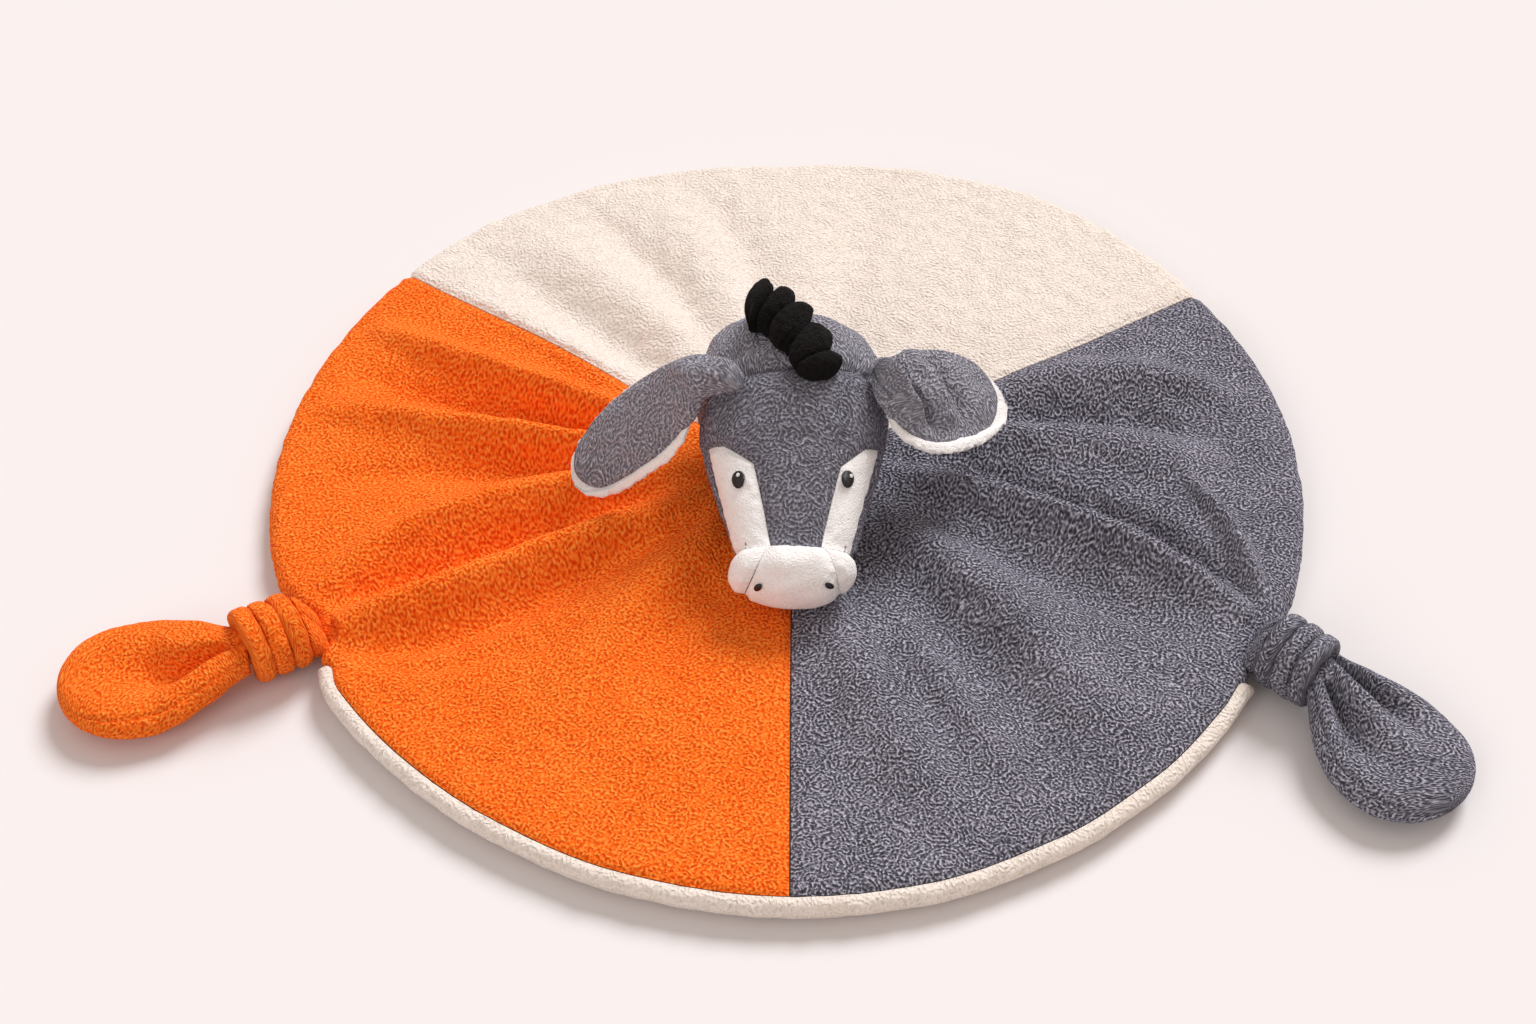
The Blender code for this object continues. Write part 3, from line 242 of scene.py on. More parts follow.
# A lighter copy of the head's grey plush, painted light, worn by the ears and the crown.
LIT_HEAD_GREY = plush("soft_grey_plush_painted_lighter", ("#6a6872", "#94919c", "#c2bfca"),
                 1.7, 10.0, 0.28, 2.3, 0.55, 1.3)
CREAM = plush("embossed_cream_plush", ("#e6d4c5", "#ecdfd5", "#f5ebe3"),
              1.75, 8.5, 0.14, 1.4, 0.12, 0.8)
WHITE = plush("brushed_white_plush", ("#ebe2e0", "#f5f0ee", "#fbf8f7"),
              1.4, 8.0, 0.05, 0.8, 0.20, 0.6)
BLACK = plush("black_fleece", ("#060505", "#131010", "#272120"),
              1.2, 6.0, 0.08, 1.3, 0.12, 0.9)
print("plush materials:",
      [mat.name for mat in (ORANGE, GREY, HEAD_GREY, LIT_HEAD_GREY, CREAM, WHITE, BLACK)])

# %% [markdown]
# Polyester wadding is a white mat of crimped fibres: one noise, read off Object
# coordinates, gives its lumps. Embroidery thread is a shiny twisted yarn laid side
# by side in satin stitch: narrow bands, read off the cloth map, give the threads.

# %% Wadding and thread from nodes
THREAD_MM = 0.38
WADDING_SCALE = 220.0


def wadding_material():
    """Loose polyester fibre: a fine noise, lighter and higher on each lump."""
    mat, tree = new_material("polyester_wadding_mat", Roughness=1)
    place = add_node(tree, "ShaderNodeTexCoord").outputs["Object"]
    lumps = add_node(tree, "ShaderNodeTexNoise", {"Vector": place, "Scale": WADDING_SCALE,
                                                  "Detail": 6.0}).outputs["Fac"]
    colour_and_bump(tree, lumps, ("#e4e1dc", "#fbfaf7"), lumps, 0.8, 0.001)
    return mat


def thread_material(name, *colours):
    """Satin stitch: bands one thread wide, with a painted highlight on the crest of each thread.
    """
    mat, tree = new_material(name, Roughness=0.38, Anisotropic=0.4)
    cloth = add_node(tree, "ShaderNodeUVMap", uv_map="cloth_mm").outputs["UV"]
    bands = add_node(tree, "ShaderNodeTexWave",
                     {"Vector": cloth, "Scale": 1 / THREAD_MM / 20 * 2 * pi,
                      "Distortion": 1.2, "Detail": 1.0}, bands_direction="Y").outputs["Fac"]
    # The bands also ramp the colour: a painted highlight on each thread's crest.
    colour_and_bump(tree, bands, colours, bands, 0.6, 0.0001)
    return mat


WADDING = wadding_material()
BLACK_THREAD = thread_material("black_rayon_thread", "#050404", "#1d1a1c")
HIGHLIGHT_THREAD = thread_material("white_highlight_thread", "#dededf", "#ffffff")
print("other materials:", WADDING.name, BLACK_THREAD.name, HIGHLIGHT_THREAD.name)

# %% [markdown]
# The shapes repeat the formulas of the CAD source, with the same named sizes in
# metres, so that each finished surface lies where its solid lies. Curves run
# smoothly through stops, and angles round the blanket are counted in degrees.

# %% Curves through stops
FABRIC = 0.0020
GAP = 0.00035
SEAM_GAP = 0.0005
SAFE_GAP = 0.0008
FULL_TURN = 360


def smoothstep(t):
    """Nought to one with a flat start and end: t squared times (3 - 2 t)."""
    return t * t * (3 - 2 * t)


def smooth_through(stops, x):
    """Read a smooth curve through stops, rows of a place and its values, at x.

    Between two stops it is a cubic that has the mean slope of the neighbours.
    """
    rows = np.asarray(stops, float)
    xs, ys = rows[:, 0], rows[:, 1:]
    x = np.clip(np.asarray(x, float), xs[0], xs[-1])
    slopes = np.diff(ys, axis=0) / np.diff(xs)[:, None]
    ends = np.vstack([slopes[:1], (slopes[:-1] + slopes[1:]) / 2, slopes[-1:]])
    i = np.clip(np.searchsorted(xs, x, side="right") - 1, 0, len(xs) - 2)
    step = (xs[i + 1] - xs[i])[..., None]
    t = (x[..., None] - xs[i][..., None]) / step
    rise = smoothstep(t)
    lead = t * (1 - t) ** 2 * step * ends[i]
    trail = t * t * (t - 1) * step * ends[i + 1]
    return ys[i] * (1 - rise) + ys[i + 1] * rise + lead + trail


def eased(stops, x, period=None):
    """Ease from stop to stop on half a cosine, and keep level past the end stops."""
    rows = np.asarray(stops, float)
    if period:
        x = np.mod(x, period)
        rows = np.vstack([rows[-1:] - [[period, 0]], rows, rows[:1] + [[period, 0]]])
    x = np.asarray(x, float)
    i = np.clip(np.searchsorted(rows[:, 0], x, side="right") - 1, 0, len(rows) - 2)
    t = np.clip((x - rows[i, 0]) / (rows[i + 1, 0] - rows[i, 0]), 0, 1)
    return rows[i, 1] + (rows[i + 1, 1] - rows[i, 1]) * (1 - np.cos(pi * t)) / 2


def evenly(rows):
    """Rows of values as stops, spaced evenly from nought to one."""
    return np.column_stack([np.linspace(0, 1, len(rows)), rows])


def signed_power(x, power):
    """A power of the size of a number, with the number's own sign."""
    return np.sign(x) * np.abs(x) ** power


def unit(v):
    """Vectors of length one."""
    v = np.asarray(v, float)
    return v / np.maximum(np.linalg.norm(v, axis=-1, keepdims=True), 1e-12)


def bell(x, width):
    """A smooth bump: one at nought, falling as exp(-(x / width) squared)."""
    return np.exp(-(np.asarray(x, float) / width) ** 2)


def waves(places, length, seed, count=28):
    """Soft random ripples: the sum of plane waves of about one length.

    Their directions, phases and small differences of length come from a seeded
    generator, so that each run gives the same ripples.
    """
    rng = np.random.default_rng(seed)
    size = places.shape[-1]
    ways = unit(rng.normal(size=(count, size)))
    ways *= 2 * pi / (length * rng.uniform(0.8, 1.3, size=(count, 1)))
    phases = rng.uniform(0, 2 * pi, count)
    return np.cos(places @ ways.T + phases).sum(axis=-1) * (2 / count) ** 0.5


print("ripples keep near one:", round(float(waves(np.zeros((9, 2)), 1, 1).std()), 3))

# %% [markdown]
# A piece of cloth is a closed form: a face with fine points, a back with fewer,
# and walls that join them round the open edges. At each sewn edge the face rolls
# in towards the seam, as a turned seam does, and it puckers slightly there. Away
# from the seams it puffs up and down by a few tenths of a millimetre, as plush
# over stuffing does.

# %% From a grid of points to a closed piece
BACK_STEP = 4


def slopes_of(points, axis, wrap=False):
    """Difference of neighbours along an axis, round the join where it wraps."""
    if wrap:
        return np.roll(points, -1, axis) - np.roll(points, 1, axis)
    return np.gradient(points, axis=axis)


def normals_of(points, inside, wrap=(False, False)):
    """Directions square to a grid of points, pointing away from a place inside."""
    square = unit(np.cross(slopes_of(points, 0, wrap[0]), slopes_of(points, 1, wrap[1])))
    side = ((points - inside) * square).sum(axis=-1).mean()
    return square * np.sign(side)


def run_along(points, axis):
    """Length walked along the grid's lines to each point."""
    steps = np.linalg.norm(np.diff(points, axis=axis), axis=-1)
    return np.concatenate([np.zeros_like(np.take(steps, [0], axis)),
                           np.cumsum(steps, axis=axis)], axis)


def cloth_mm(points, wrap=(False, False)):
    """Flat places on the cloth in millimetres, walked both ways from its middle."""
    grid = points
    for axis in (0, 1):
        if wrap[axis]:
            grid = np.concatenate([grid, np.take(grid, [0], axis)], axis)
    sides = []
    for axis in (1, 0):
        run = run_along(grid, axis)
        sides.append(run - np.take(run, [run.shape[axis] // 2], axis))
    return np.stack(sides, axis=-1) * 1000


def seam_distance(points):
    """Distance from the nearest open edge, walked along the grid's lines."""
    nearest = np.full(points.shape[:2], np.inf)
    for axis in (0, 1):
        run = run_along(points, axis)
        nearest = np.minimum(nearest, np.minimum(run, np.take(run, [-1], axis) - run))
    return nearest


def grid_quads(rows, columns, wrap=(False, False)):
    """Corners of the quads over a grid, and their corners on the cloth map."""
    i, k = np.meshgrid(np.arange(rows - (not wrap[0])), np.arange(columns - (not wrap[1])),
                       indexing="ij")
    corners = [(i, k), (i, k + 1), (i + 1, k + 1), (i + 1, k)]
    quads = np.stack([(a % rows) * columns + b % columns for a, b in corners], -1).reshape(-1, 4)
    wide = columns + wrap[1]
    marks = np.stack([a * wide + b for a, b in corners], -1).reshape(-1, 4)
    return quads, marks


def solid_size(points, faces):
    """Signed volume inside closed faces: positive where they point outward."""
    total = 0.0
    for ring in faces:
        a = points[ring[:, 0]]
        for n in range(1, ring.shape[1] - 1):
            total += np.einsum("ij,ij->i", a, np.cross(points[ring[:, n]],
                                                       points[ring[:, n + 1]])).sum() / 6
    return total


def make_piece(name, points, faces, marks, cloth, material):
    """Put points, faces and cloth places into a closed mesh object at the origin."""
    if solid_size(points, faces) < 0:
        faces = [ring[:, ::-1] for ring in faces]
        marks = [ring[:, ::-1] for ring in marks]
    mesh = bpy.data.meshes.new(name)
    mesh.vertices.add(len(points))
    mesh.vertices.foreach_set("co", points.astype(np.float32).ravel())
    corners = np.concatenate([ring.ravel() for ring in faces])
    sizes = np.concatenate([np.full(len(ring), ring.shape[1]) for ring in faces])
    mesh.loops.add(len(corners))
    mesh.loops.foreach_set("vertex_index", corners.astype(np.int32))
    mesh.polygons.add(len(sizes))
    starts = np.concatenate([[0], np.cumsum(sizes)[:-1]])
    mesh.polygons.foreach_set("loop_start", starts.astype(np.int32))
    mesh.update(calc_edges=True)
    places = cloth.reshape(-1, 2)[np.concatenate([ring.ravel() for ring in marks])]
    mesh.uv_layers.new(name="cloth_mm").data.foreach_set("uv", places.astype(np.float32).ravel())
    mesh.validate()
    mesh.shade_smooth()
    mesh.materials.append(material)
    piece = bpy.data.objects.new(name, mesh)
    scene.collection.objects.link(piece)
    print(name, "faces:", len(mesh.polygons))
    return piece


def cloth_piece(name, face, back, cloth, material, wrap=False):
    """A closed piece from the points of its face and of its back.

    The back keeps every fourth point both ways, and each wall is a face of four
    fine edges and one wide one.
    """
    rows, columns = face.shape[:2]
    count, step = rows * columns, BACK_STEP
    coarse, picked = back[::step, ::step], cloth[::step, ::step]
    quads, marks = grid_quads(rows, columns, (wrap, False))
    backs, back_marks = grid_quads(*coarse.shape[:2], (wrap, False))
    fine = np.arange(count).reshape(rows, columns)
    deep = np.arange(coarse[..., 0].size).reshape(coarse.shape[:2]) + count
    if wrap:
        fine, deep = np.vstack([fine, fine[:1]]), np.vstack([deep, deep[:1]])
    rims = [(fine[:, 0], deep[:, 0], False), (fine[:, -1], deep[:, -1], True)]
    if not wrap:
        rims += [(fine[0], deep[0], True), (fine[-1], deep[-1], False)]
    walls = []
    for near, far, turned in rims:
        first = np.arange(len(far) - 1) * step
        ring = np.concatenate([near[first[:, None] + np.arange(step + 1)],
                               far[1:, None], far[:-1, None]], axis=1)
        walls.append(ring[:, ::-1] if turned else ring)
    walls = np.concatenate(walls)
    grids = (cloth, picked, cloth[:rows, :columns], picked[:coarse.shape[0], :coarse.shape[1]])
    flat = np.concatenate([grid.reshape(-1, 2) for grid in grids])
    faces = [quads, backs[:, ::-1] + count, walls]
    places = [marks, back_marks[:, ::-1] + cloth[..., 0].size,
              walls + cloth[..., 0].size + picked[..., 0].size]
    points = np.concatenate([face.reshape(-1, 3), coarse.reshape(-1, 3)])
    return make_piece(name, points, faces, places, flat, material)


def tube_piece(name, rings, material, cloth=None):
    """A closed piece lofted through rings, with its two ends drawn to a point."""
    rows, columns = rings.shape[:2]
    if cloth is None:
        cloth = cloth_mm(rings, (False, True))
    quads, marks = grid_quads(rows, columns, (False, True))
    ends = np.stack([rings[0].mean(axis=0), rings[-1].mean(axis=0)])
    turn = np.arange(columns)
    after = (turn + 1) % columns
    last = (rows - 1) * columns
    head, foot = rows * columns, rows * columns + 1
    caps = np.stack([np.concatenate([after, last + turn]),
                     np.concatenate([turn, last + after]),
                     np.repeat([head, foot], columns)], axis=1)
    wide = columns + 1
    cap_marks = np.stack([np.concatenate([turn + 1, (rows - 1) * wide + turn]),
                          np.concatenate([turn, (rows - 1) * wide + turn + 1]),
                          np.repeat([rows * wide, rows * wide + 1], columns)], axis=1)
    flat = np.concatenate([cloth.reshape(-1, 2), cloth[[0, -1]].mean(axis=1)])
    points = np.concatenate([rings.reshape(-1, 3), ends])
    return make_piece(name, points, [quads, caps], [marks, cap_marks], flat, material)


def ways_along(path, bend):
    """Directions along a path, drawn part of the way towards its chord."""
    chord = unit(path[-1] - path[0])
    return unit(bend * unit(np.gradient(path, axis=0)) + (1 - bend) * chord)


def rings_along(path, across, up, aside, rise):
    """Rings carried along a path: path + across times aside + up times rise."""
    return path[:, None] + across[:, None] * aside[..., None] + up[:, None] * rise[..., None]


def ruffle(rings, middle, ripples, seed, share=1):
    """Move points off the middle by ripples, given as lengths in mm and heights."""
    rise = sum(waves(rings * 1000, length, seed + i) * height
               for i, (length, height) in enumerate(ripples))
    return rings + unit(rings - middle) * (rise * share)[..., None]


def circle(count):
    """Angles evenly round a full turn."""
    return np.arange(count) * 2 * pi / count


def polar(radius, angle, *height):
    """Places at a radius and an angle, with a height where one is given."""
    return np.stack(np.broadcast_arrays(radius * np.cos(angle), radius * np.sin(angle), *height),
                    axis=-1)


def level_way(angle):
    """A level direction, given by its angle in radians."""
    return np.array([cos(angle), sin(angle), 0])


def dress(piece, body, node, sewn=None):
    """Hang a piece on its body, or bake its transform where it is sewn, and hide the solid it
    stands for.

    Sewn holds the body that holds its root and two points on it; only whether it is given is used.
    """
    if sewn:
        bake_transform(piece)
    else:
        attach(piece, body)
    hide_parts(node)
    return piece


# %% [markdown]
# The blanket is a flat round pad: three plush sectors on top, thin wadding, and
# a cream backing that rolls up over the edge. Its outline bulges and dips, and
# it is drawn in at the two knots. Where the knots and the sewn middle pull on
# it, the top lies in soft folds. Each fold is a ridge or a valley on its own
# path, given as stops of radius, angle, height and half width in millimetres and
# degrees, and read off the photograph.

# %% Outline and folds of the blanket
BLANKET_RADIUS = 0.180
BLANKET_LOFT = 0.0140
EDGE_HEIGHT = 0.0110
NECK_HOLE_RADIUS = 0.0064
FRONT_BAND_TURN = radians(70)
BAND_SWELL = 0.0010
BAND_TUCK = 0.0011
SIDE_BAND_TURN = radians(-38)
BAND_START = 2.6
BAND_BLEND = 3.6
SEAM_ORANGE_CREAM = 142.8
SEAM_ORANGE_GREY = 269.5
SEAM_GREY_CREAM = 392.7
# A knot: its place round the edge, its way out and its tail's way, in degrees
ORANGE_KNOT = (204.0, 209.0, 192.0)
GREY_KNOT = (333.0, 317.0, 302.0)
RIM_SHARES = (
    (0, 0.995), (12, 1.003), (28, 1.008), (42, 1.016), (58, 1.024), (71, 1.005),
    (81, 0.990), (91, 0.976), (104, 0.988), (118, 1.000), (131, 1.013),
    (151, 1.011), (172, 1.012), (188, 1.012), (195, 1.006), (199, 0.990),
    (202, 0.961), (206, 0.961), (209, 0.994), (213, 1.010), (226, 1.010),
    (238, 1.013), (252, 1.022), (270, 1.028),
    (283, 1.026), (298, 1.014), (310, 1.003), (323, 0.994), (327.5, 0.989),
    (331, 0.953), (335, 0.953), (338, 0.978), (342, 0.988), (350, 0.990),
)
FOLDS = (
    # orange, ridges and then valleys
    ((34, 154, 0, 6), (60, 154.5, 2.2, 6), (120, 154, 2.8, 6),
     (160, 153.5, 1.6, 6), (176, 153, 0, 7)),
    ((34, 170, 0, 6), (60, 169.5, 2.4, 6), (115, 169, 3.0, 7),
     (160, 168.5, 1.6, 7), (176, 168, 0, 8)),
    ((30, 180, 0, 6), (60, 183, 2.2, 7), (100, 188, 3.0, 8), (140, 193, 2.6, 7), (172, 199, 0, 6)),
    ((28, 202, 0, 6), (60, 204, 2.4, 7), (110, 205.5, 3.2, 7),
     (150, 205.5, 3.0, 7), (173, 205, .8, 6)),
    ((24, 227, 0, 8), (55, 229, 2.2, 9), (95, 231, 1.8, 11), (150, 233, 0, 14)),
    ((60, 249, 0, 18), (110, 251, .9, 20), (160, 252, 0, 20)),
    ((40, 161.5, 0, 5), (80, 162, -2.2, 7), (140, 162, -1.9, 8), (172, 161, 0, 8)),
    ((40, 177, 0, 6), (80, 177, -2.2, 7), (140, 179, -1.6, 9), (172, 181, 0, 9)),
    ((36, 193, 0, 5), (80, 196, -2.3, 6), (130, 199.5, -2.5, 6),
     (160, 201, -1.4, 5), (172, 202, 0, 5)),
    ((34, 213, 0, 6), (80, 213.5, -2.0, 7), (140, 212.5, -2.4, 7), (170, 208.5, -.6, 5)),
    ((40, 239, 0, 10), (70, 240, -1.3, 12), (120, 241, 0, 14)),
    ((110, 222, 0, 6), (145, 217, -1.1, 5), (170, 211, 0, 4)),
    # grey
    ((50, 281, 0, 9), (90, 283, 1.7, 11), (140, 286, 1.5, 11), (168, 289, 0, 9)),
    ((60, 297, 0, 8), (110, 297, 1.2, 9), (160, 297.5, 0, 9)),
    ((34, 324, 0, 8), (60, 321, 2.4, 10), (100, 317, 2.8, 12),
     (140, 313.5, 1.6, 13), (168, 312, 0, 13)),
    ((32, 356, 0, 6), (60, 352, 2.6, 7), (100, 345.5, 3.7, 7),
     (130, 341.5, 3.6, 7), (168, 336.5, .8, 6)),
    ((134, 360, 0, 6), (147, 353, 2.2, 6), (160, 345, 2.4, 6), (172, 338, .6, 5)),
    ((36, 376, 0, 8), (60, 374, 2.2, 9), (100, 368.5, 2.8, 11),
     (135, 363.5, 1.6, 12), (156, 361, 0, 12)),
    ((80, 389, 0, 8), (110, 386, 2.4, 9), (140, 380.5, 2.6, 9), (172, 372, 0, 8)),
    ((50, 293, 0, 6), (100, 292.5, -1.0, 6), (160, 293, 0, 6)),
    ((40, 309, 0, 8), (80, 307, -1.7, 11), (130, 304.5, -1.4, 11), (168, 303, 0, 10)),
    ((40, 336, 0, 8), (80, 333.5, -1.8, 9), (130, 331, -1.6, 9), (166, 331, 0, 7)),
    ((44, 361, 0, 6), (80, 355, -1.9, 7), (125, 348, -2.4, 7),
     (158, 341, -1.2, 5), (170, 338, 0, 4)),
    ((60, 382, 0, 6), (90, 378.5, -1.8, 7), (130, 372.5, -1.9, 7), (158, 366, 0, 7)),
    # cream
    ((60, 47, 0, 14), (110, 47, 1.2, 16), (160, 47, 0, 16)),
    ((50, 68, 0, 12), (100, 68, 1.8, 15), (160, 67, 0, 16)),
    ((50, 88, 0, 10), (110, 88, 1.8, 14), (164, 89, 0, 14)),
    ((50, 104, 0, 8), (100, 105.5, 2.2, 10), (140, 107.5, 1.8, 11), (170, 109, 0, 10)),
    ((44, 121, 0, 8), (90, 122.5, 2.9, 10), (140, 125, 2.4, 10), (172, 126, 0, 10)),
    ((50, 141, 0, 6), (110, 141, 1.4, 7), (166, 141, 0, 7)),
    ((60, 57, 0, 8), (110, 57, -1.3, 9), (164, 57, 0, 9)),
    ((60, 80, 0, 6), (100, 79, -1.8, 7), (150, 77.5, -1.6, 7), (174, 77, 0, 7)),
    ((54, 93, 0, 7), (95, 95.5, -1.9, 8), (145, 100.5, -1.8, 8), (174, 103, 0, 8)),
    ((50, 111, 0, 6), (95, 113, -2.5, 7), (140, 116, -2.2, 7), (174, 119, 0, 7)),
    ((44, 131, 0, 7), (85, 132.5, -3.0, 8), (140, 133.5, -2.6, 8), (176, 134, 0, 8)),
)
FOLD_BASE_DROP = 0.0006
FOLD_STRENGTH = 2.7
FOLD_RING = ((0.16, 0), (0.36, 1), (0.74, 1), (0.97, 0))
CREAM_CALM = ((28, 0), (52, 1), (134, 1), (148, 0))
CREAM_CALM_SHARE = 0.54


def rim_radius(degrees):
    """Radius of the blanket's edge: the blanket's radius times its eased share."""
    return BLANKET_RADIUS * eased(RIM_SHARES, degrees, FULL_TURN)


def roll_centre(degrees):
    """Radius of the centre line of the rolled edge."""
    return rim_radius(degrees) - EDGE_HEIGHT / 2


def band_turn(degrees):
    """How far up the roll the backing comes: high at the front, low elsewhere."""
    degrees = np.mod(degrees, FULL_TURN)
    rise = np.clip((degrees - ORANGE_KNOT[0] - BAND_START) / BAND_BLEND, 0, 1)
    fall = np.clip((GREY_KNOT[0] - BAND_START - degrees) / BAND_BLEND, 0, 1)
    front = smoothstep(rise) * smoothstep(fall)
    return SIDE_BAND_TURN + (FRONT_BAND_TURN - SIDE_BAND_TURN) * front


def fold_rise(radius, degrees):
    """Sum of the folds: each one's height times a bell of the distance from its path."""
    radius_mm = radius * 1000
    total = np.zeros_like(radius_mm)
    for fold in FOLDS:
        path = smooth_through(fold, radius_mm)
        apart = (degrees - path[..., 0] + FULL_TURN / 2) % FULL_TURN - FULL_TURN / 2
        near = (radius_mm >= fold[0][0]) & (radius_mm <= fold[-1][0])
        total += near * path[..., 1] * bell(np.radians(apart) * radius_mm, path[..., 2])
    calm = 1 - CREAM_CALM_SHARE * eased(CREAM_CALM, degrees, FULL_TURN)
    return total * FOLD_STRENGTH * calm / 1000


def top_height(share, radius, degrees):
    """Height of the top: a low dome, minus a small drop in the ring, plus the folds."""
    dome = EDGE_HEIGHT + (BLANKET_LOFT - EDGE_HEIGHT) * (1 - share ** 2)
    return dome + fold_rise(radius, degrees) - FOLD_BASE_DROP * eased(FOLD_RING, share)


rim = rim_radius(np.arange(FULL_TURN))
print("rim from", round(float(rim.min()), 4), "to", round(float(rim.max()), 4))

# %% [markdown]
# A sector's face is a function of the angle round the blanket and of the way
# walked from the neck hole over the top and down the roll. Walking in polar
# coordinates puts the points where the folds run. The cloth map is the flat
# round cut of the fabric itself: the way walked, laid out at its angle.

# %% Plush sectors
SECTOR_COLUMNS = 441
TOP_STATIONS = 165
ROLL_STATIONS = 28
SEAM_TUCK = 0.0011
SEAM_TUCK_WIDTH = 0.0017
PUCKER = 0.00012
PUCKER_MM = 3.4
PUFF = 0.00016
PUFF_START = 0.004


def add_roll(radius, height, centre, first, last, stations):
    """Carry a profile on round the edge's arc. The arc's angles come third."""
    turn = first + (last - first) * np.linspace(0, 1, stations)[None, 1:]
    roll = EDGE_HEIGHT / 2
    return (np.concatenate([radius, centre + roll * np.cos(turn)], axis=1),
            np.concatenate([height, roll + roll * np.sin(turn)], axis=1), turn)


def seam_in(points, inside, tuck=SEAM_TUCK, puff=PUFF, seed=1, length=9.0):
    """Roll the edges in, pucker them, and puff the rest a little along the normals.

    Move = puff * ripples - tuck * bell(distance) + pucker * short ripples near.
    """
    normals = normals_of(points, inside)
    far = seam_distance(points)
    places = points * 1000
    swell = waves(places, length, seed) * puff * (1 - bell(far, PUFF_START))
    creases = waves(places, PUCKER_MM, seed + 50) * PUCKER * bell(far - 0.0022, 0.0026)
    move = swell + creases - tuck * bell(far, SEAM_TUCK_WIDTH)
    return points + normals * move[..., None], normals


def sector(name, first, last, material, node, seed):
    """One plush sector, from the neck hole over the top and down the roll.

    Angles crowd towards the two seams, where the cloth turns in. The roll is an
    arc of the edge's radius about the centre line, down to where the backing is.
    """
    t = np.linspace(0, 1, SECTOR_COLUMNS)
    degrees = first + (last - first) * (t - 0.5 * np.sin(2 * pi * t) / (2 * pi))
    angle = np.radians(degrees)[:, None]
    centre = roll_centre(degrees)[:, None]
    radius = NECK_HOLE_RADIUS + (centre - NECK_HOLE_RADIUS) * np.linspace(0, 1, TOP_STATIONS)
    height = top_height(radius / centre, radius, degrees[:, None])
    end = (band_turn(degrees) + SEAM_GAP / EDGE_HEIGHT)[:, None]
    radius, height, _ = add_roll(radius, height, centre, pi / 2, end, ROLL_STATIONS)
    aside = SEAM_GAP / 2 * np.linspace(1, -1, SECTOR_COLUMNS)[:, None]
    points = polar(radius, angle, height)
    points[..., :2] += polar(aside, angle + pi / 2)
    face, normals = seam_in(points, np.array([0, 0, -1.0]), seed=seed)
    cloth = polar(NECK_HOLE_RADIUS + run_along(points, 1), angle) * 1000
    piece = cloth_piece(name, face, points - normals * FABRIC, cloth, material)
    dress(piece, "blanket", node)


for word, first, last, material, seed in (
        ("orange", SEAM_ORANGE_CREAM, SEAM_ORANGE_GREY, ORANGE, 11),
        ("grey", SEAM_ORANGE_GREY, SEAM_GREY_CREAM, GREY, 12),
        ("cream", SEAM_GREY_CREAM - FULL_TURN, SEAM_ORANGE_CREAM, CREAM, 13)):
    sector(word + "_sector", first, last, material, word + "_panel", seed)

# %% [markdown]
# The backing is one round sheet of the cream plush, laid on the table, whose
# edge rolls up to meet the sectors. At the front it comes well up the side, and
# shows as the pale band below the two colours.

# %% Backing sheet
BACKING_COLUMNS = 960
FLAT_STATIONS = 17
BAND_STATIONS = 29
BACKING_PUFF_MM = 7.0


def backing():
    """A flat disc out to the roll's centre line, then an arc up to the sectors."""
    degrees = np.arange(BACKING_COLUMNS) * FULL_TURN / BACKING_COLUMNS
    angle = np.radians(degrees)[:, None]
    centre = roll_centre(degrees)[:, None]
    flat = centre * np.linspace(0.02, 1, FLAT_STATIONS)
    end = (band_turn(degrees) - SEAM_GAP / EDGE_HEIGHT)[:, None]
    radius, height, turn = add_roll(flat, 0 * flat, centre, -pi / 2, end, BAND_STATIONS)
    points = polar(radius, angle, height)
    normals = normals_of(points, np.array([0, 0, 1.0]), (True, False))
    roll = EDGE_HEIGHT / 2
    far = (end - np.concatenate([np.full_like(flat, -pi / 2), turn], axis=1)) * roll
    front = (end - SIDE_BAND_TURN) / (FRONT_BAND_TURN - SIDE_BAND_TURN)
    swell = waves(points * 1000, BACKING_PUFF_MM, 21) * PUFF * np.clip(height / roll, 0, 1)
    swell = swell + BAND_SWELL * front * bell(far - 0.0042, 0.0026)
    face = points + normals * (swell - BAND_TUCK * bell(far, 0.0012))[..., None]
    cloth = polar(run_along(points, 1) + radius[:, :1], angle) * 1000
    cloth = np.concatenate([cloth, cloth[:1]])
    return cloth_piece("cream_backing", face, points - normals * FABRIC, cloth, CREAM, wrap=True)


backing_sheet = dress(backing(), "blanket", "backing_panel")

# %% [markdown]
# Under the plush lies a mat of polyester wadding. Nobody sees it while the seams
# hold, and it is what makes the blanket soft, so it is modelled as one closed
# ring-shaped pad that fills the space between the fabrics.

# %% Wadding
PAD_COLUMNS = 240
PAD_TOP = 40
PAD_ROLL = 12
PAD_SLACK = 0.0015


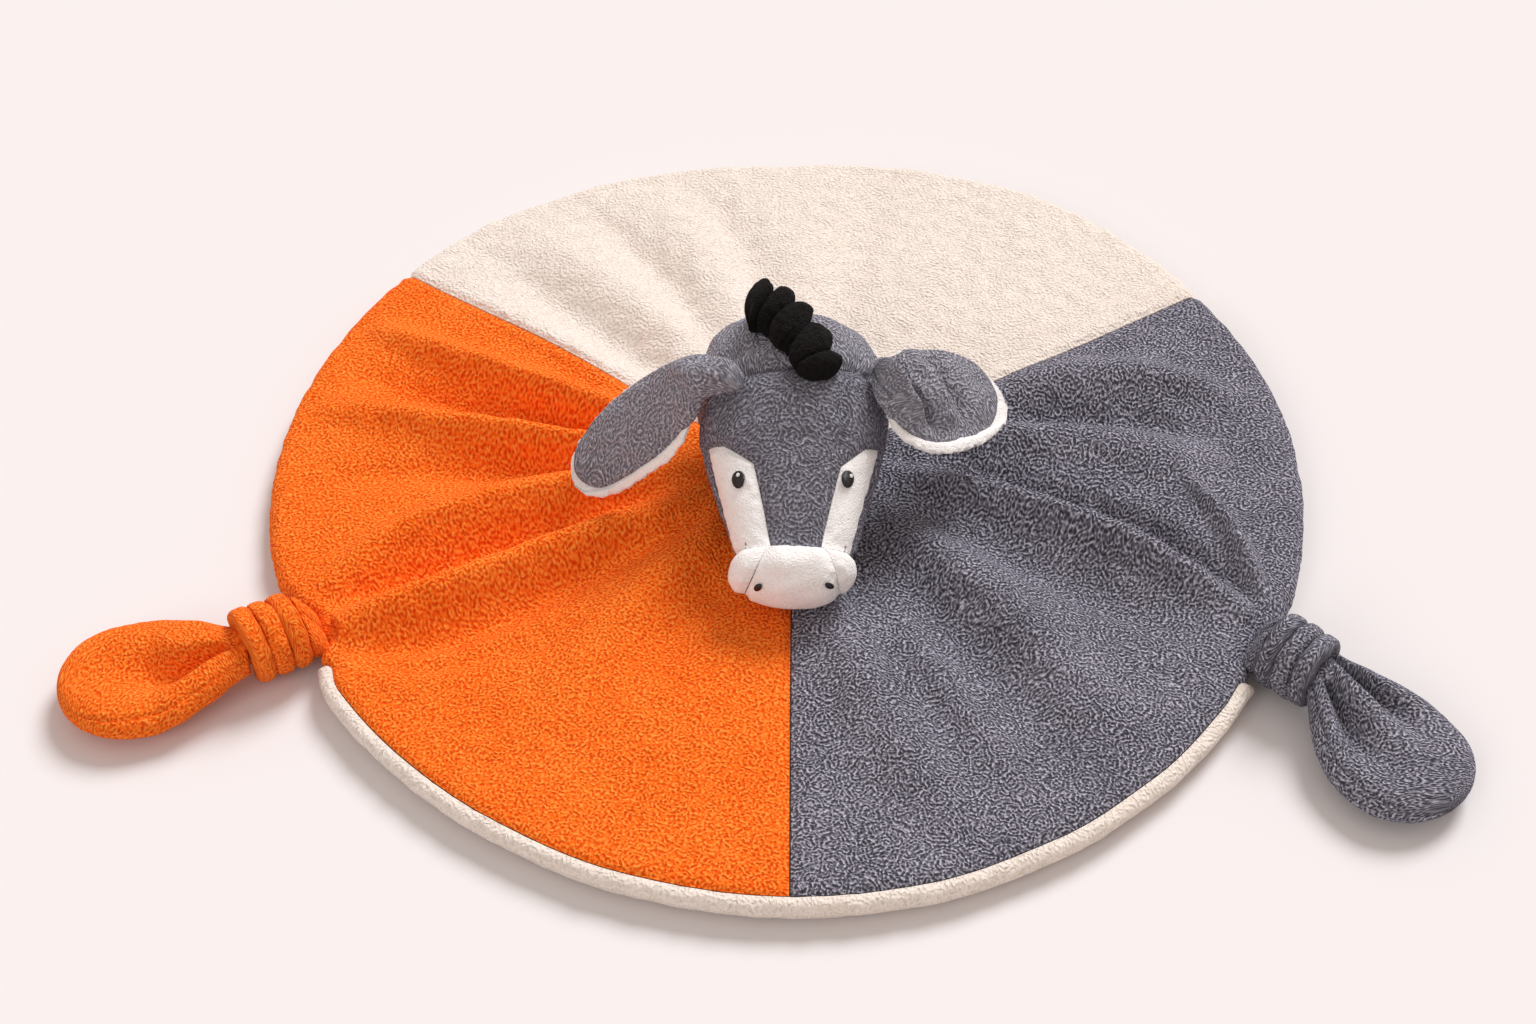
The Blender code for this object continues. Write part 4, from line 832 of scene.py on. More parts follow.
def wadding():
    """A loop of profile at each angle: up the hole, over the top, round, and back."""
    degrees = np.arange(PAD_COLUMNS) * FULL_TURN / PAD_COLUMNS
    centre = roll_centre(degrees)[:, None] - PAD_SLACK
    hole = NECK_HOLE_RADIUS + SAFE_GAP
    radius = hole + (centre - hole) * np.linspace(0, 1, PAD_TOP)
    low = FABRIC + GAP
    top = top_height(radius / centre, radius, degrees[:, None]) - low - SAFE_GAP - SEAM_TUCK
    middle = EDGE_HEIGHT / 2
    turn = pi / 2 - pi * np.linspace(0, 1, PAD_ROLL)[None, 1:-1]
    roll = top[:, -1:] - middle
    radius = np.concatenate([radius, centre + roll * np.cos(turn), radius[:, ::-1]], axis=1)
    height = np.concatenate([top, middle + roll * np.sin(turn), 0 * top + low], axis=1)
    points = polar(radius, np.radians(degrees)[:, None], np.maximum(height, low))
    quads, marks = grid_quads(*points.shape[:2], (True, True))
    return make_piece("wadding_pad", points.reshape(-1, 3), [quads], [marks],
                      cloth_mm(points, (True, True)), WADDING)


dress(wadding(), "blanket", "blanket_wadding")

# %% [markdown]
# The head is stuffed plush sewn from ten panels. Its whole form is one surface:
# rounded-square sections of changing width, top and bottom from the back to the
# nose, a little rolled and turned, as the head lies in the photograph. A place on
# it is a share of the way through the sections and an angle from the top. The
# panels are patches of such places, so they meet exactly along their seams.

# %% The form of the head
HEAD_LENGTH = 0.1098
HEAD_HALF_WIDTH = 0.0330
HEAD_HEIGHT = 0.0500
HEAD_BACK = 0.0365
HEAD_REST_GAP = 0.0020
HEAD_ROLL = radians(4.5)
HEAD_TURN = radians(1.4)
HEAD_SQUARENESS = 2.25
# Sections: the place along, the half width, the top and the underside, as shares
SECTION_SHARES = (
    (0.000, 0.00, 0.560, 0.560), (0.022, 0.50, 0.800, 0.360),
    (0.095, 0.84, 0.955, 0.225), (0.230, 0.985, 1.000, 0.120),
    (0.385, 0.995, 0.985, 0.080), (0.530, 0.905, 0.870, 0.035),
    (0.655, 0.785, 0.715, 0.010), (0.765, 0.680, 0.580, 0.000),
    (0.840, 0.618, 0.475, 0.015), (0.895, 0.615, 0.475, 0.010),
    (0.950, 0.515, 0.425, 0.035), (0.988, 0.300, 0.335, 0.105),
    (1.000, 0.00, 0.230, 0.230),
)
CROWN_SEAM_SHARE = 0.31
CROWN_SEAM_LEAN_SHARE = 0.022
CHEEK_TOP_OUTER_SHARE = 0.404
CHEEK_TOP_INNER_SHARE = 0.488
MUZZLE_SEAM_TOP_SHARE = 0.709
MUZZLE_SEAM_BACK_SHARE = 0.605
FOREHEAD_SIDE = {-1: 86, 1: 79}
FOREHEAD_AT_BROW = {-1: 59, 1: 55}
FOREHEAD_AT_CHEEK = {-1: 32, 1: 32.5}
FOREHEAD_AT_MUZZLE = {-1: 23, 1: 22}
CHEEK_FOOT = {-1: 103, 1: 82}
CHEEK_TOP_MIDDLE_SHARE = 0.434
UNDERSIDE = 180
SIDES = ((-1, "left"), (1, "right"))
MUZZLE_BELT_SHARE = 0.42
HEAD_BASE = BLANKET_LOFT + HEAD_REST_GAP
NUDGE = 0.002
SECTION_STOPS = [(i / (len(SECTION_SHARES) - 1), *row) for i, row in enumerate(SECTION_SHARES)]


def head_point(share, degrees):
    """Point of the head: a rounded-square section, rolled, turned and set down."""
    share, degrees = np.broadcast_arrays(np.asarray(share, float), np.asarray(degrees, float))
    along, width, top, low = np.moveaxis(smooth_through(SECTION_STOPS, share), -1, 0)
    across, rise = np.sin(np.radians(degrees)), np.cos(np.radians(degrees))
    power = 2 / HEAD_SQUARENESS
    x = HEAD_HALF_WIDTH * width * signed_power(across, power)
    y = HEAD_BACK - HEAD_LENGTH * along
    z = HEAD_HEIGHT * ((top + low) / 2 + (top - low) / 2 * signed_power(rise, power))
    z = z - HEAD_HEIGHT / 2
    x, z = x * cos(HEAD_ROLL) + z * sin(HEAD_ROLL), z * cos(HEAD_ROLL) - x * sin(HEAD_ROLL)
    x, y = x * cos(HEAD_TURN) - y * sin(HEAD_TURN), y * cos(HEAD_TURN) + x * sin(HEAD_TURN)
    return np.stack([x, y, z + HEAD_HEIGHT / 2 + HEAD_BASE], axis=-1)


def head_normal(share, degrees):
    """Outward direction of the head, from two small steps on its surface."""
    turn = np.degrees(NUDGE)
    along = head_point(share + NUDGE, degrees) - head_point(share - NUDGE, degrees)
    across = head_point(share, degrees + turn) - head_point(share, degrees - turn)
    return unit(np.cross(along, across))


def crown_seam(degrees):
    """Section share of the seam behind the forehead."""
    return CROWN_SEAM_SHARE - CROWN_SEAM_LEAN_SHARE * np.sin(np.radians(degrees))


def muzzle_seam(degrees):
    """Section share of the seam in front of the cheeks."""
    back = (1 - np.cos(np.radians(degrees))) / 2
    return MUZZLE_SEAM_TOP_SHARE + (MUZZLE_SEAM_BACK_SHARE - MUZZLE_SEAM_TOP_SHARE) * back


def patch(low, high, left, right):
    """Fill a patch from four edges that meet at corners: rows + columns - corners."""
    u = np.linspace(0, 1, len(left))[:, None, None]
    v = np.linspace(0, 1, len(low))[None, :, None]
    rows = low[None] * (1 - u) + high[None] * u
    columns = left[:, None] * (1 - v) + right[:, None] * v
    corners = (low[0] * (1 - u) * (1 - v) + low[-1] * (1 - u) * v
               + high[0] * u * (1 - v) + high[-1] * u * v)
    return rows + columns - corners


def path_through(*stops, count):
    """Places along straight stretches between stops, evenly by stretch."""
    stops = np.array(stops, float)
    t = np.linspace(0, len(stops) - 1, count)
    return np.stack([np.interp(t, range(len(stops)), column) for column in stops.T], axis=-1)


print("head middle:", np.round(head_point(0.5, np.array([0, 180])).mean(axis=0), 4))

# %% [markdown]
# The forehead runs from the crown seam down to the muzzle, the cheeks lie beside
# it, and two grey side panels go round under the chin. Each panel swells between
# its seams, and the forehead has a fine dart over the right eye.

# %% Forehead, cheeks and sides
BROW_STEPS = 20
CHEEK_STEPS = 60
ACROSS_STEPS = 100
HEAD_TUCK = 0.0008
HEAD_SEAM_DIP = 0.0009
HEAD_SEAM_GAP = 0.0002
HEAD_MIDDLE = head_point(0.5, np.array([0.0, 180.0])).mean(axis=0)
HEAD_SEAM_DIP_WIDTH = 0.0048
DART_DEGREES = 27
DART_LEAN = 25
DART_MIDDLE = 0.40
DART_WIDTH = 1.8
DART_DEPTH = 0.0013
DART_STOPS = ((0.335, 0), (0.38, 1), (0.44, 1), (0.475, 0))
CREASE_WIDTH = 0.018
CREASE_DEPTH = 0.0010
# Height in metres, the middle and half width as shares of the way to the nose, and
# the middle and half width in degrees: brow, hollow below it, muzzle all round,
# its left side, right of the crown
SWELLINGS = (
    (0.0013, 0.36, 0.042, 0, 50), (-0.0011, 0.455, 0.022, 2, 26),
    (0.0008, 0.80, 0.055, 0, np.inf), (0.0022, 0.80, 0.070, -96, 42),
    (-0.0009, 0.17, 0.09, 55, 30),
)


def on_seam(seam, degrees, side=1):
    """Places along a seam at angles that are counted down one side of the head."""
    return np.stack([seam(side * degrees), degrees], axis=-1)


def brow_stops(side):
    """Places of the brow seam on one side: its outer end, its bend and its inner end."""
    return np.array([(CHEEK_TOP_OUTER_SHARE, FOREHEAD_SIDE[side]),
                     (CHEEK_TOP_MIDDLE_SHARE, FOREHEAD_AT_BROW[side]),
                     (CHEEK_TOP_INNER_SHARE, FOREHEAD_AT_CHEEK[side])])


def forehead_places():
    """The grey face panel: wide over the brow, narrow down to the muzzle."""
    across = np.linspace(-FOREHEAD_SIDE[-1], FOREHEAD_SIDE[1], ACROSS_STEPS + 1)
    ends = np.linspace(-FOREHEAD_AT_MUZZLE[-1], FOREHEAD_AT_MUZZLE[1], ACROSS_STEPS + 1)
    low, high = on_seam(crown_seam, across), on_seam(muzzle_seam, ends)
    sides = []
    for side in (-1, 1):
        brow = brow_stops(side) * (1, side)
        first, last = (low[0], high[0]) if side < 0 else (low[-1], high[-1])
        sides.append(np.vstack([path_through(first, brow[0], count=BROW_STEPS + 1)[:-1],
                                path_through(*brow, count=BROW_STEPS + 1)[:-1],
                                path_through(brow[2], last, count=CHEEK_STEPS + 1)]))
    return patch(low, high, *sides)


def cheek_places(side):
    """A white cheek panel, from the brow down to the muzzle."""
    steps = 40
    low = path_through(*brow_stops(side)[::-1], count=steps + 1)
    ends = np.linspace(FOREHEAD_AT_MUZZLE[side], CHEEK_FOOT[side], steps + 1)
    high = on_seam(muzzle_seam, ends)
    left = path_through(low[0], high[0], count=2 * steps + 1)
    right = path_through(low[-1], high[-1], count=2 * steps + 1)
    return patch(low, high, left, right) * (1, side)


def side_places(side):
    """A grey side panel, from the brow seam round to the seam under the chin."""
    turns = np.linspace(FOREHEAD_SIDE[side], UNDERSIDE, 2 * BROW_STEPS + 41)
    ends = np.linspace(CHEEK_FOOT[side], UNDERSIDE, len(turns))
    low, high = on_seam(crown_seam, turns, side), on_seam(muzzle_seam, ends)
    corner = brow_stops(side)[0]
    left = np.vstack([path_through(low[0], corner, count=BROW_STEPS + 1)[:-1],
                      path_through(corner, high[0], count=CHEEK_STEPS + 1)])
    right = path_through(low[-1], high[-1], count=len(left))
    return patch(low, high, left, right) * (1, side)


def head_relief(share, degrees):
    """Sculpted rise of the stuffed form: the swellings, less a dart and a crease.

    Each swelling is its height times a bell of the place and a bell of the angle.
    """
    dart = bell(degrees - DART_DEGREES - DART_LEAN * (share - DART_MIDDLE), DART_WIDTH)
    crease = bell(share - crown_seam(degrees), CREASE_WIDTH) * bell(degrees, 80)
    rise = -DART_DEPTH * dart * eased(DART_STOPS, share) - CREASE_DEPTH * crease
    for height, middle, width, turn, wide in SWELLINGS:
        rise = rise + height * bell(share - middle, width) * bell(degrees - turn, wide)
    return rise


def head_panel(name, places, material, node, seed, puff=PUFF, tuck=HEAD_TUCK, length=8.0):
    """A closed piece of plush over a patch of places on the head."""
    share, degrees = places[..., 0], places[..., 1]
    points = head_point(share, degrees)
    normals = normals_of(points, HEAD_MIDDLE)
    points = points + normals * head_relief(share, degrees)[..., None]
    dip = HEAD_SEAM_DIP * bell(seam_distance(points), HEAD_SEAM_DIP_WIDTH)
    points = points - normals * dip[..., None]
    face, normals = seam_in(draw_in(points, HEAD_SEAM_GAP), HEAD_MIDDLE, tuck=tuck, puff=puff,
                            seed=seed, length=length)
    back = draw_in(points - normals * FABRIC, HEAD_SEAM_GAP)
    piece = cloth_piece(name, face, back, cloth_mm(points), material)
    dress(piece, "head", node)


def draw_in(points, gap):
    """Draw the whole patch a little together, so that seams stay half a gap open."""
    points = points.copy()
    for axis in (0, 1):
        grid = np.moveaxis(points, axis, 0)
        reach = np.linspace(1, 0, 6)[:, None, None] ** 2 * gap / 2
        grid[:6] += unit(grid[6] - grid[0])[None] * reach
        grid[-6:] += unit(grid[-7] - grid[-1])[None] * reach[::-1]
    return points


head_panel("plush_forehead", forehead_places(), HEAD_GREY, "forehead_panel", 31)
for side, word in SIDES:
    head_panel(word + "_plush_cheek", cheek_places(side), WHITE,
               word + "_cheek_panel", 33 + side)
    head_panel(word + "_plush_side", side_places(side), HEAD_GREY,
               word + "_jaw_panel", 37 + side)

# %% [markdown]
# The back of the head and the muzzle are rounded ends. A flat round disc is laid
# over each end, its rim on the seam and its middle on the tip, and the panels are
# cut from the disc by straight chords: two halves at the back, and a belt with
# two side pieces at the muzzle.

# %% Crown and muzzle panels
END_ARC_PARTS = 4


def arc(first, last, count):
    """Spots on the edge of the unit disc between two angles from its top."""
    turns = np.radians(np.linspace(first, last, count))
    return np.stack([np.sin(turns), np.cos(turns)], axis=-1)


def end_side(chord, side, rows, columns):
    """Spots over the part of the unit disc beyond an upright chord."""
    corner = np.degrees(np.arccos(chord))
    first, last = 90 - corner, 90 + corner
    inner = (last - first) / END_ARC_PARTS
    low = path_through((chord, cos(radians(first))), (chord, cos(radians(last))), count=columns)
    high = arc(first + inner, last - inner, columns)
    left = arc(first, first + inner, rows)
    right = arc(last, last - inner, rows)
    return patch(low, high, left, right) * (side, 1)


def end_belt(chord, rows, columns):
    """Spots over the part of the unit disc between two upright chords."""
    tip = 90 - np.degrees(np.arccos(chord))
    low = arc(180 + tip, 180 - tip, columns)
    high = arc(-tip, tip, columns)
    left = path_through(low[0], high[0], count=rows)
    right = path_through(low[-1], high[-1], count=rows)
    return patch(low, high, left, right)


def end_places(spots, seam, end_share):
    """Head places of disc spots: the reach leads from the tip out to the seam."""
    reach = np.hypot(spots[..., 0], spots[..., 1])
    degrees = np.degrees(np.arctan2(spots[..., 0], spots[..., 1]))
    share = end_share + (seam(degrees) - end_share) * np.clip(reach, 0, 1)
    return np.stack([share, degrees], axis=-1)


# The crown halves wear the lighter grey: painted light on the top of the head.
for side, word in SIDES:
    head_panel(word + "_plush_crown", end_places(end_side(0, side, 61, 121), crown_seam, 0),
               LIT_HEAD_GREY, word + "_crown_panel", 43 + side)
    head_panel(word + "_plush_muzzle",
               end_places(end_side(MUZZLE_BELT_SHARE, side, 33, 81), muzzle_seam, 1),
               WHITE, word + "_muzzle_panel", 47 + side)
head_panel("plush_muzzle_centre", end_places(end_belt(MUZZLE_BELT_SHARE, 121, 41), muzzle_seam, 1),
           WHITE, "muzzle_centre_panel", 51)

# %% [markdown]
# The stuffing is the same form, shrunk by the fabric and a little more, so that
# it fills the panels without touching their tucked seams.

# %% Stuffing
STUFFING_SLACK = 0.0010
STUFFING_LUMP_MM = 9.0
STUFFING_LUMP = 0.0002


def stuffing():
    """Rings of the head form, set in along its normals, with lumps of fibre."""
    share, degrees = np.meshgrid(np.linspace(0.05, 0.95, 60), np.arange(72) * 5.0, indexing="ij")
    inset = FABRIC + HEAD_TUCK + HEAD_SEAM_DIP + STUFFING_SLACK
    rings = head_point(share, degrees) - inset * head_normal(share, degrees)
    lumps = waves(rings * 1000, STUFFING_LUMP_MM, 61)[..., None] * STUFFING_LUMP
    rings = rings + head_normal(share, degrees) * lumps
    return tube_piece("stuffing_fill", rings, WADDING)


dress(stuffing(), "head", "head_stuffing")

# %% [markdown]
# Eyes and nostrils are embroidered: satin stitch laid over a small pad, so each
# is a low dome with fine ridges, one for each thread. A white stitched spot on top
# of each eye is a painted highlight, high on the side where the light comes from.

# %% Embroidered eyes and nostrils
EYE_SHARES = ((0.513, -47.5), (0.511, 38.5))
NOSTRIL_SHARES = ((0.886, -72.0), (0.886, 55.0))
STITCH_RELIEF = 0.00005
SPOT_SIDES = 48
SPOT_RINGS = 16


def stitched_spot(name, spot, size, dome, material, node, lift=0.0, shift=(0, 0)):
    """A domed oval on the head, as rings about its middle.

    Height = lift + dome * sqrt(1 - reach squared), with a thread ridge on it.
    """
    share, degrees = spot
    centre = head_point(share, degrees)
    turn = np.degrees(NUDGE)
    per_share = np.linalg.norm(head_point(share + NUDGE, degrees) - centre) / NUDGE
    per_turn = np.linalg.norm(head_point(share, degrees + turn) - centre) / turn
    angle = circle(SPOT_SIDES)
    reach = np.sin(np.linspace(0.02, 1, SPOT_RINGS) * pi / 2)[:, None]
    down = reach * size[1] / 2 * np.cos(angle) + shift[1]
    aside = reach * size[0] / 2 * np.sin(angle) * (1 - 0.10 * np.cos(angle)) + shift[0]
    spots = share + down / per_share, degrees + aside / per_turn
    outward = head_normal(*spots)
    ridge = STITCH_RELIEF * np.cos(down * 1000 / THREAD_MM * 2 * pi)
    rise = lift + dome * np.sqrt(np.clip(1 - (reach * 0.97) ** 2, 0, 1)) + ridge
    top = head_point(*spots) + outward * rise[..., None]
    under = (head_point(*spots) + outward * (lift * 0.9))[::-1]
    rings = np.concatenate([top, under[:1] * 0.5 + top[-1:] * 0.5, under])
    flat = np.stack([np.broadcast_to(aside, down.shape), down], axis=-1) * 1000
    flat = np.concatenate([flat, flat[-1:], flat[::-1]])
    flat = np.concatenate([flat, flat[:, :1]], axis=1)
    dress(tube_piece(name, rings, material, flat), "head", node)


for word, eye, nostril in zip(("left", "right"), EYE_SHARES, NOSTRIL_SHARES):
    stitched_spot(word + "_stitched_eye", eye, (0.0046, 0.0060), 0.0010, BLACK_THREAD,
                  word + "_eye", 0.0004)
    # The white spot on the eye is a painted highlight.
    stitched_spot(word + "_painted_highlight", eye, (0.0012, 0.0013), 0.0003, HIGHLIGHT_THREAD,
                  word + "_eye_glint", 0.0013, (0.0006, -0.0013))
    stitched_spot(word + "_stitched_nostril", nostril, (0.0034, 0.0022), 0.0005, BLACK_THREAD,
                  word + "_nostril", 0.0005)

# %% [markdown]
# A short neck of grey plush is sewn through the middle of the blanket. It is a
# ball that the head sits on, over a narrow stub.

# %% Neck
NECK_AXIS = np.array([0, 0, BLANKET_LOFT - 0.0016])


def neck():
    """Turn a profile about the upright axis: a quarter ball, then a stub below."""
    form = head_point(np.linspace(0, 1, 61)[:, None], np.linspace(0, FULL_TURN, 61))
    ball = np.linalg.norm(form - NECK_AXIS, axis=-1).min() - GAP
    foot = BLANKET_LOFT + GAP
    stub = NECK_HOLE_RADIUS - SAFE_GAP
    low = np.arcsin((foot - NECK_AXIS[2]) / ball)
    turns = np.linspace(pi / 2 - 0.05, low, 14)
    radii = np.concatenate([ball * np.cos(turns), np.linspace(ball * cos(low), stub, 6)[1:],
                            [stub] * 8])
    heights = np.concatenate([NECK_AXIS[2] + ball * np.sin(turns), [foot] * 5,
                              np.linspace(foot, FABRIC + GAP + SAFE_GAP, 9)[1:]])
    rings = polar(radii[:, None], circle(64), heights[:, None])
    return tube_piece("plush_neck", rings, HEAD_GREY)


dress(neck(), "neck", "neck")

# %% [markdown]
# Each ear is two layers: grey plush outside and thick white pile inside, sewn
# along one edge, so that the white shows as a soft border along the lower edge and
# round the tip. Near the head the ear is gathered into a round stalk. A ring of
# points is carried along the ear's curve, and its folds are ridges that run across it.

# %% Ears
EAR_THICKNESS = 0.0026
LINING_THICKNESS = 0.0031
EAR_BORDER = 0.0035
EAR_TIP_BORDER = 0.0056
# An ear: its root on the head, side, length, width and clearance at the tip, stops
# of its reach, way to the front, drop, share of the width and tilt, and root gap
LEFT_EAR = ((0.350, -29), -1, 0.0592, 0.0315, 0.0020, (
    (0.00, 0.00, 0.00, 0.34, 0), (0.13, -0.03, 0.02, 0.44, 6),
    (0.26, -0.06, 0.08, 0.58, 14), (0.39, -0.03, 0.24, 0.86, 22),
    (0.54, -0.01, 0.44, 1.00, 25), (0.70, -0.01, 0.65, 0.97, 26),
    (0.85, 0.01, 0.85, 0.80, 26), (0.95, 0.03, 0.95, 0.54, 24),
    (1.00, 0.05, 1.00, 0.24, 22)), 0.0008)
RIGHT_EAR = ((0.314, 42), 1, 0.0442, 0.0385, 0.0140, (
    (0.00, 0.00, 0.00, 0.36, 0), (0.10, 0.08, 0.05, 0.58, 10),
    (0.24, 0.14, 0.15, 0.90, 20), (0.42, 0.10, 0.31, 1.00, 25),
    (0.62, -0.04, 0.50, 0.98, 26), (0.82, -0.17, 0.70, 0.82, 26),
    (0.98, -0.28, 0.87, 0.56, 25), (1.08, -0.36, 1.00, 0.24, 24)), 0.0003)
EAR_BEND = 0.35
EAR_RINGS = 130
EAR_SIDES = 96
# Folds across an ear: half width in metres, then stops of the place across the
# ear, the place along it, and the height in metres
LEFT_FOLDS = (
    (0.0022, ((-1.0, 0.36, 0), (-0.4, 0.33, -0.0008), (0.3, 0.29, -0.0012), (1.0, 0.27, -0.0012))),
    (0.0030, ((-1.0, 0.50, 0), (0.0, 0.47, 0.0005), (1.0, 0.40, 0.0006))),
)
RIGHT_FOLDS = (
    (0.0032, ((-0.7, 0.02, 0.0010), (0.0, 0.17, 0.0046), (0.5, 0.29, 0.0056),
              (0.9, 0.39, 0.0040), (1.0, 0.41, 0.002))),
    (0.0014, ((-0.7, 0.17, -0.0012), (0.0, 0.30, -0.0052), (0.5, 0.41, -0.0048),
              (0.9, 0.48, -0.0020), (1.0, 0.52, 0))),
    (0.0026, ((-1.0, 0.33, 0.0010), (-0.3, 0.42, 0.0030), (0.3, 0.50, 0.0032),
              (0.8, 0.54, 0.0012), (1.0, 0.55, 0))),
    (0.0015, ((-1.0, 0.47, -0.0004), (-0.3, 0.53, -0.0028), (0.3, 0.59, -0.0026), (0.8, 0.59, 0),
              (1.0, 0.59, 0))),
    (0.0034, ((-1.0, 0.60, 0.0006), (-0.3, 0.65, 0.0018), (0.3, 0.69, 0.0016), (0.8, 0.66, 0),
              (1.0, 0.66, 0))),
)
FOLD_FADE = ((0.50, 1), (0.86, 0.12), (1, 0))
LEAST_LAYER = 0.0007
EAR_SEWN = (0.03, 0.42)
EAR_STAND = 0.0030
EAR_TIP_STAND = 0.0056
LINING_START = 0.06
LINING_TIP = (0.90, 0.101)
OUTER_TIP = (0.86, 0.142)
OUTER_ROOT = (-0.07, 0.071)
LINING_RIM = 0.0019
LINING_CROWN = ((-1, 0.1), (0.70, 0.15), (0.88, 1))
LINING_FLUFF = ((1.7, 0.00016), (5.0, 0.0002))
EAR_RIPPLE_MM = 7.0
EAR_RIPPLE = 0.00025


def ear_root(root, gap):
    """Centre of an ear's root, standing just off the head."""
    return head_point(*root) + head_normal(*root) * (EAR_STAND + gap)


def ear_curve(ear, t):
    """Path, ways across and up, and half width of an ear at places along it."""
    root, side, length, width, clearance, shares, gap = ear
    start = ear_root(root, gap)
    reach, front, drop, wide, tilt = smooth_through(evenly(shares), t).T
    tip = BLANKET_LOFT + EAR_TIP_STAND + clearance
    path = np.stack([start[0] + side * length * reach, start[1] - length * front,
                     start[2] + (tip - start[2]) * drop], axis=-1)
    along = ways_along(path, EAR_BEND)
    level = unit(np.cross(along, np.array([0, 0, 1])) * side)
    up = unit(np.cross(level, along) * -side)
    up = up * np.sign(up[:, 2:3])
    turn = np.radians(tilt)[:, None]
    across = level * np.cos(turn) - up * np.sin(turn)
    return path, across, level * np.sin(turn) + up * np.cos(turn), width * wide / 2


def fold_lines(folds, along, across, length):
    """Sum of ridges over an ear: height times a bell of the distance along it."""
    total = np.zeros_like(across)
    for width, stops in folds:
        path = smooth_through(stops, np.clip(across, -1, 1))
        total += path[..., 1] * bell((along - path[..., 0]) * length, width)
    return total


def rounded(t, start, length):
    """One along most of the way, closing on a quarter oval past the start."""
    return np.sqrt(np.clip(1 - ((t - start) / length) ** 2 * (t > start), 0, 1))[:, None]


def ear_lining(data, edge, seed):
    """Rings of the white layer: a fluffy rim over the grey's edge, flat under it."""
    t = np.linspace(LINING_START, 1, EAR_RINGS)
    angle = circle(EAR_SIDES)
    e, lift = np.cos(angle)[None], np.sin(angle)[None]
    path, across, up, half = ear_curve(data, t)
    tip = rounded(t, *LINING_TIP)
    hidden = eased(((0, 0.2), (edge[0], 0.6), (edge[1], 1)), t)[:, None]
    wide = half[:, None] * hidden * (0.25 + 0.75 * tip)
    rim = LINING_RIM * eased(LINING_CROWN, e) * eased(((edge[0], 0), (edge[1], 1)), t)[:, None]
    rise = np.where(lift > 0, rim * np.abs(lift) ** 0.6, -LINING_THICKNESS * np.abs(lift) ** 0.8)
    rings = rings_along(path, across, up, wide * e, rise * (0.35 + 0.65 * tip) - GAP / 2)
    middle = path[:, None] - up[:, None] * LINING_THICKNESS / 3
    return ruffle(rings, middle, LINING_FLUFF, seed, 0.3 + 0.7 * tip)


def ear_outer(data, folds, roll, edge, seed):
    """Rings of the grey layer: plump, folded across, and set in from the edge.

    Roll is the stalk's plumpness, where that starts to fade and has gone, and a lean.
    """
    plump, start, stop, side = roll
    length = data[2]
    s = np.linspace(0, 1, EAR_RINGS)
    t = s * (1 - EAR_TIP_BORDER * 0.95 / length)
    angle = circle(EAR_SIDES)
    e, lift = np.cos(angle)[None], np.sin(angle)[None]
    path, across, up, half = ear_curve(data, t)
    tip = rounded(s, *OUTER_TIP) * rounded(-s, *OUTER_ROOT)
    out = half[:, None]
    hem = out - EAR_BORDER * eased(((edge[0], 0), (edge[1], 1)), t)[:, None]
    place = (hem - out) / 2 + (hem + out) / 2 * e * (0.08 + 0.92 * tip)
    share = place / out
    stalk = plump * eased(((start, 1), (stop, 0)), t)[:, None]
    tall = (EAR_THICKNESS + stalk) * np.abs(lift) ** 0.75 * (0.2 + 0.8 * tip)
    if side:
        lean = eased(((0, 0), (start, side), (stop, side), (1, 0)), t)[:, None]
        tall = tall * (0.55 + 0.45 * bell(share - lean, 0.42))
    folded = fold_lines(folds, t[:, None], share, length) * np.abs(lift) ** 0.5 * tip
    top = np.maximum(tall + folded * eased(FOLD_FADE, e), np.minimum(tall, LEAST_LAYER))
    flat = np.stack(np.broadcast_arrays(s[:, None] * length, place), axis=-1) * 1000
    soft = EAR_RIPPLE * waves(flat, EAR_RIPPLE_MM, seed) * np.abs(lift) ** 0.5 * tip
    rise = GAP / 2 + np.where(lift > 0, top + soft, -0.0002 * np.abs(lift))
    return rings_along(path, across, up, place, rise)


def ear(name, data, folds, roll, edge, seed):
    """The two closed layers of one ear. Edge is where the white border comes in."""
    sewn = ("head", *ear_curve(data, np.array(EAR_SEWN))[0])
    under, over = ear_lining(data, edge, seed), ear_outer(data, folds, roll, edge, seed + 2)
    lining = tube_piece(name + "_white_lining", under, WHITE)
    # The outer layer wears the lighter grey: painted light on the ear.
    outer = tube_piece(name + "_plush_outer", over, LIT_HEAD_GREY)
    dress(lining, name, name + "_lining", sewn)
    dress(outer, name, name + "_outer", sewn)


ear("left_ear", LEFT_EAR, LEFT_FOLDS, (0.0058, 0.24, 0.46, 0.0), (0.28, 0.44), 71)
ear("right_ear", RIGHT_EAR, RIGHT_FOLDS, (0.0046, 0.30, 0.62, 0.10), (0.12, 0.26), 75)

# %% [markdown]
# The mane is a roll of black fleece, twisted so that it lies in five lobes, and
# sewn down along the crown. A ring is carried along the crown, and its size goes
# down to a waist between the lobes, at an angle that turns with the twist.

# %% Mane tuft
TUFT_LIFT = 0.0034
TUFT_RADIUS = 0.0090
TUFT_SEAT = -0.0016
TUFT_LOBES = 5
TUFT_WAIST = 0.58
TUFT_SWELL = 1.10
TUFT_SIZE = ((0, 0.90), (0.3, 0.92), (0.7, 1.06), (1, 1.30))
TUFT_END = 0.17
TUFT_END_LOBE = 1.0
TUFT_UNDERSIDE = 1.04
TUFT_PLEAT = 0.00020
TUFT_NAP = ((3.0, 0.00013),)
TUFT_TIP_SHARE = 0.08
TUFT_FLAT = 0.76
TUFT_RINGS = 221
TUFT_SIDES = 96
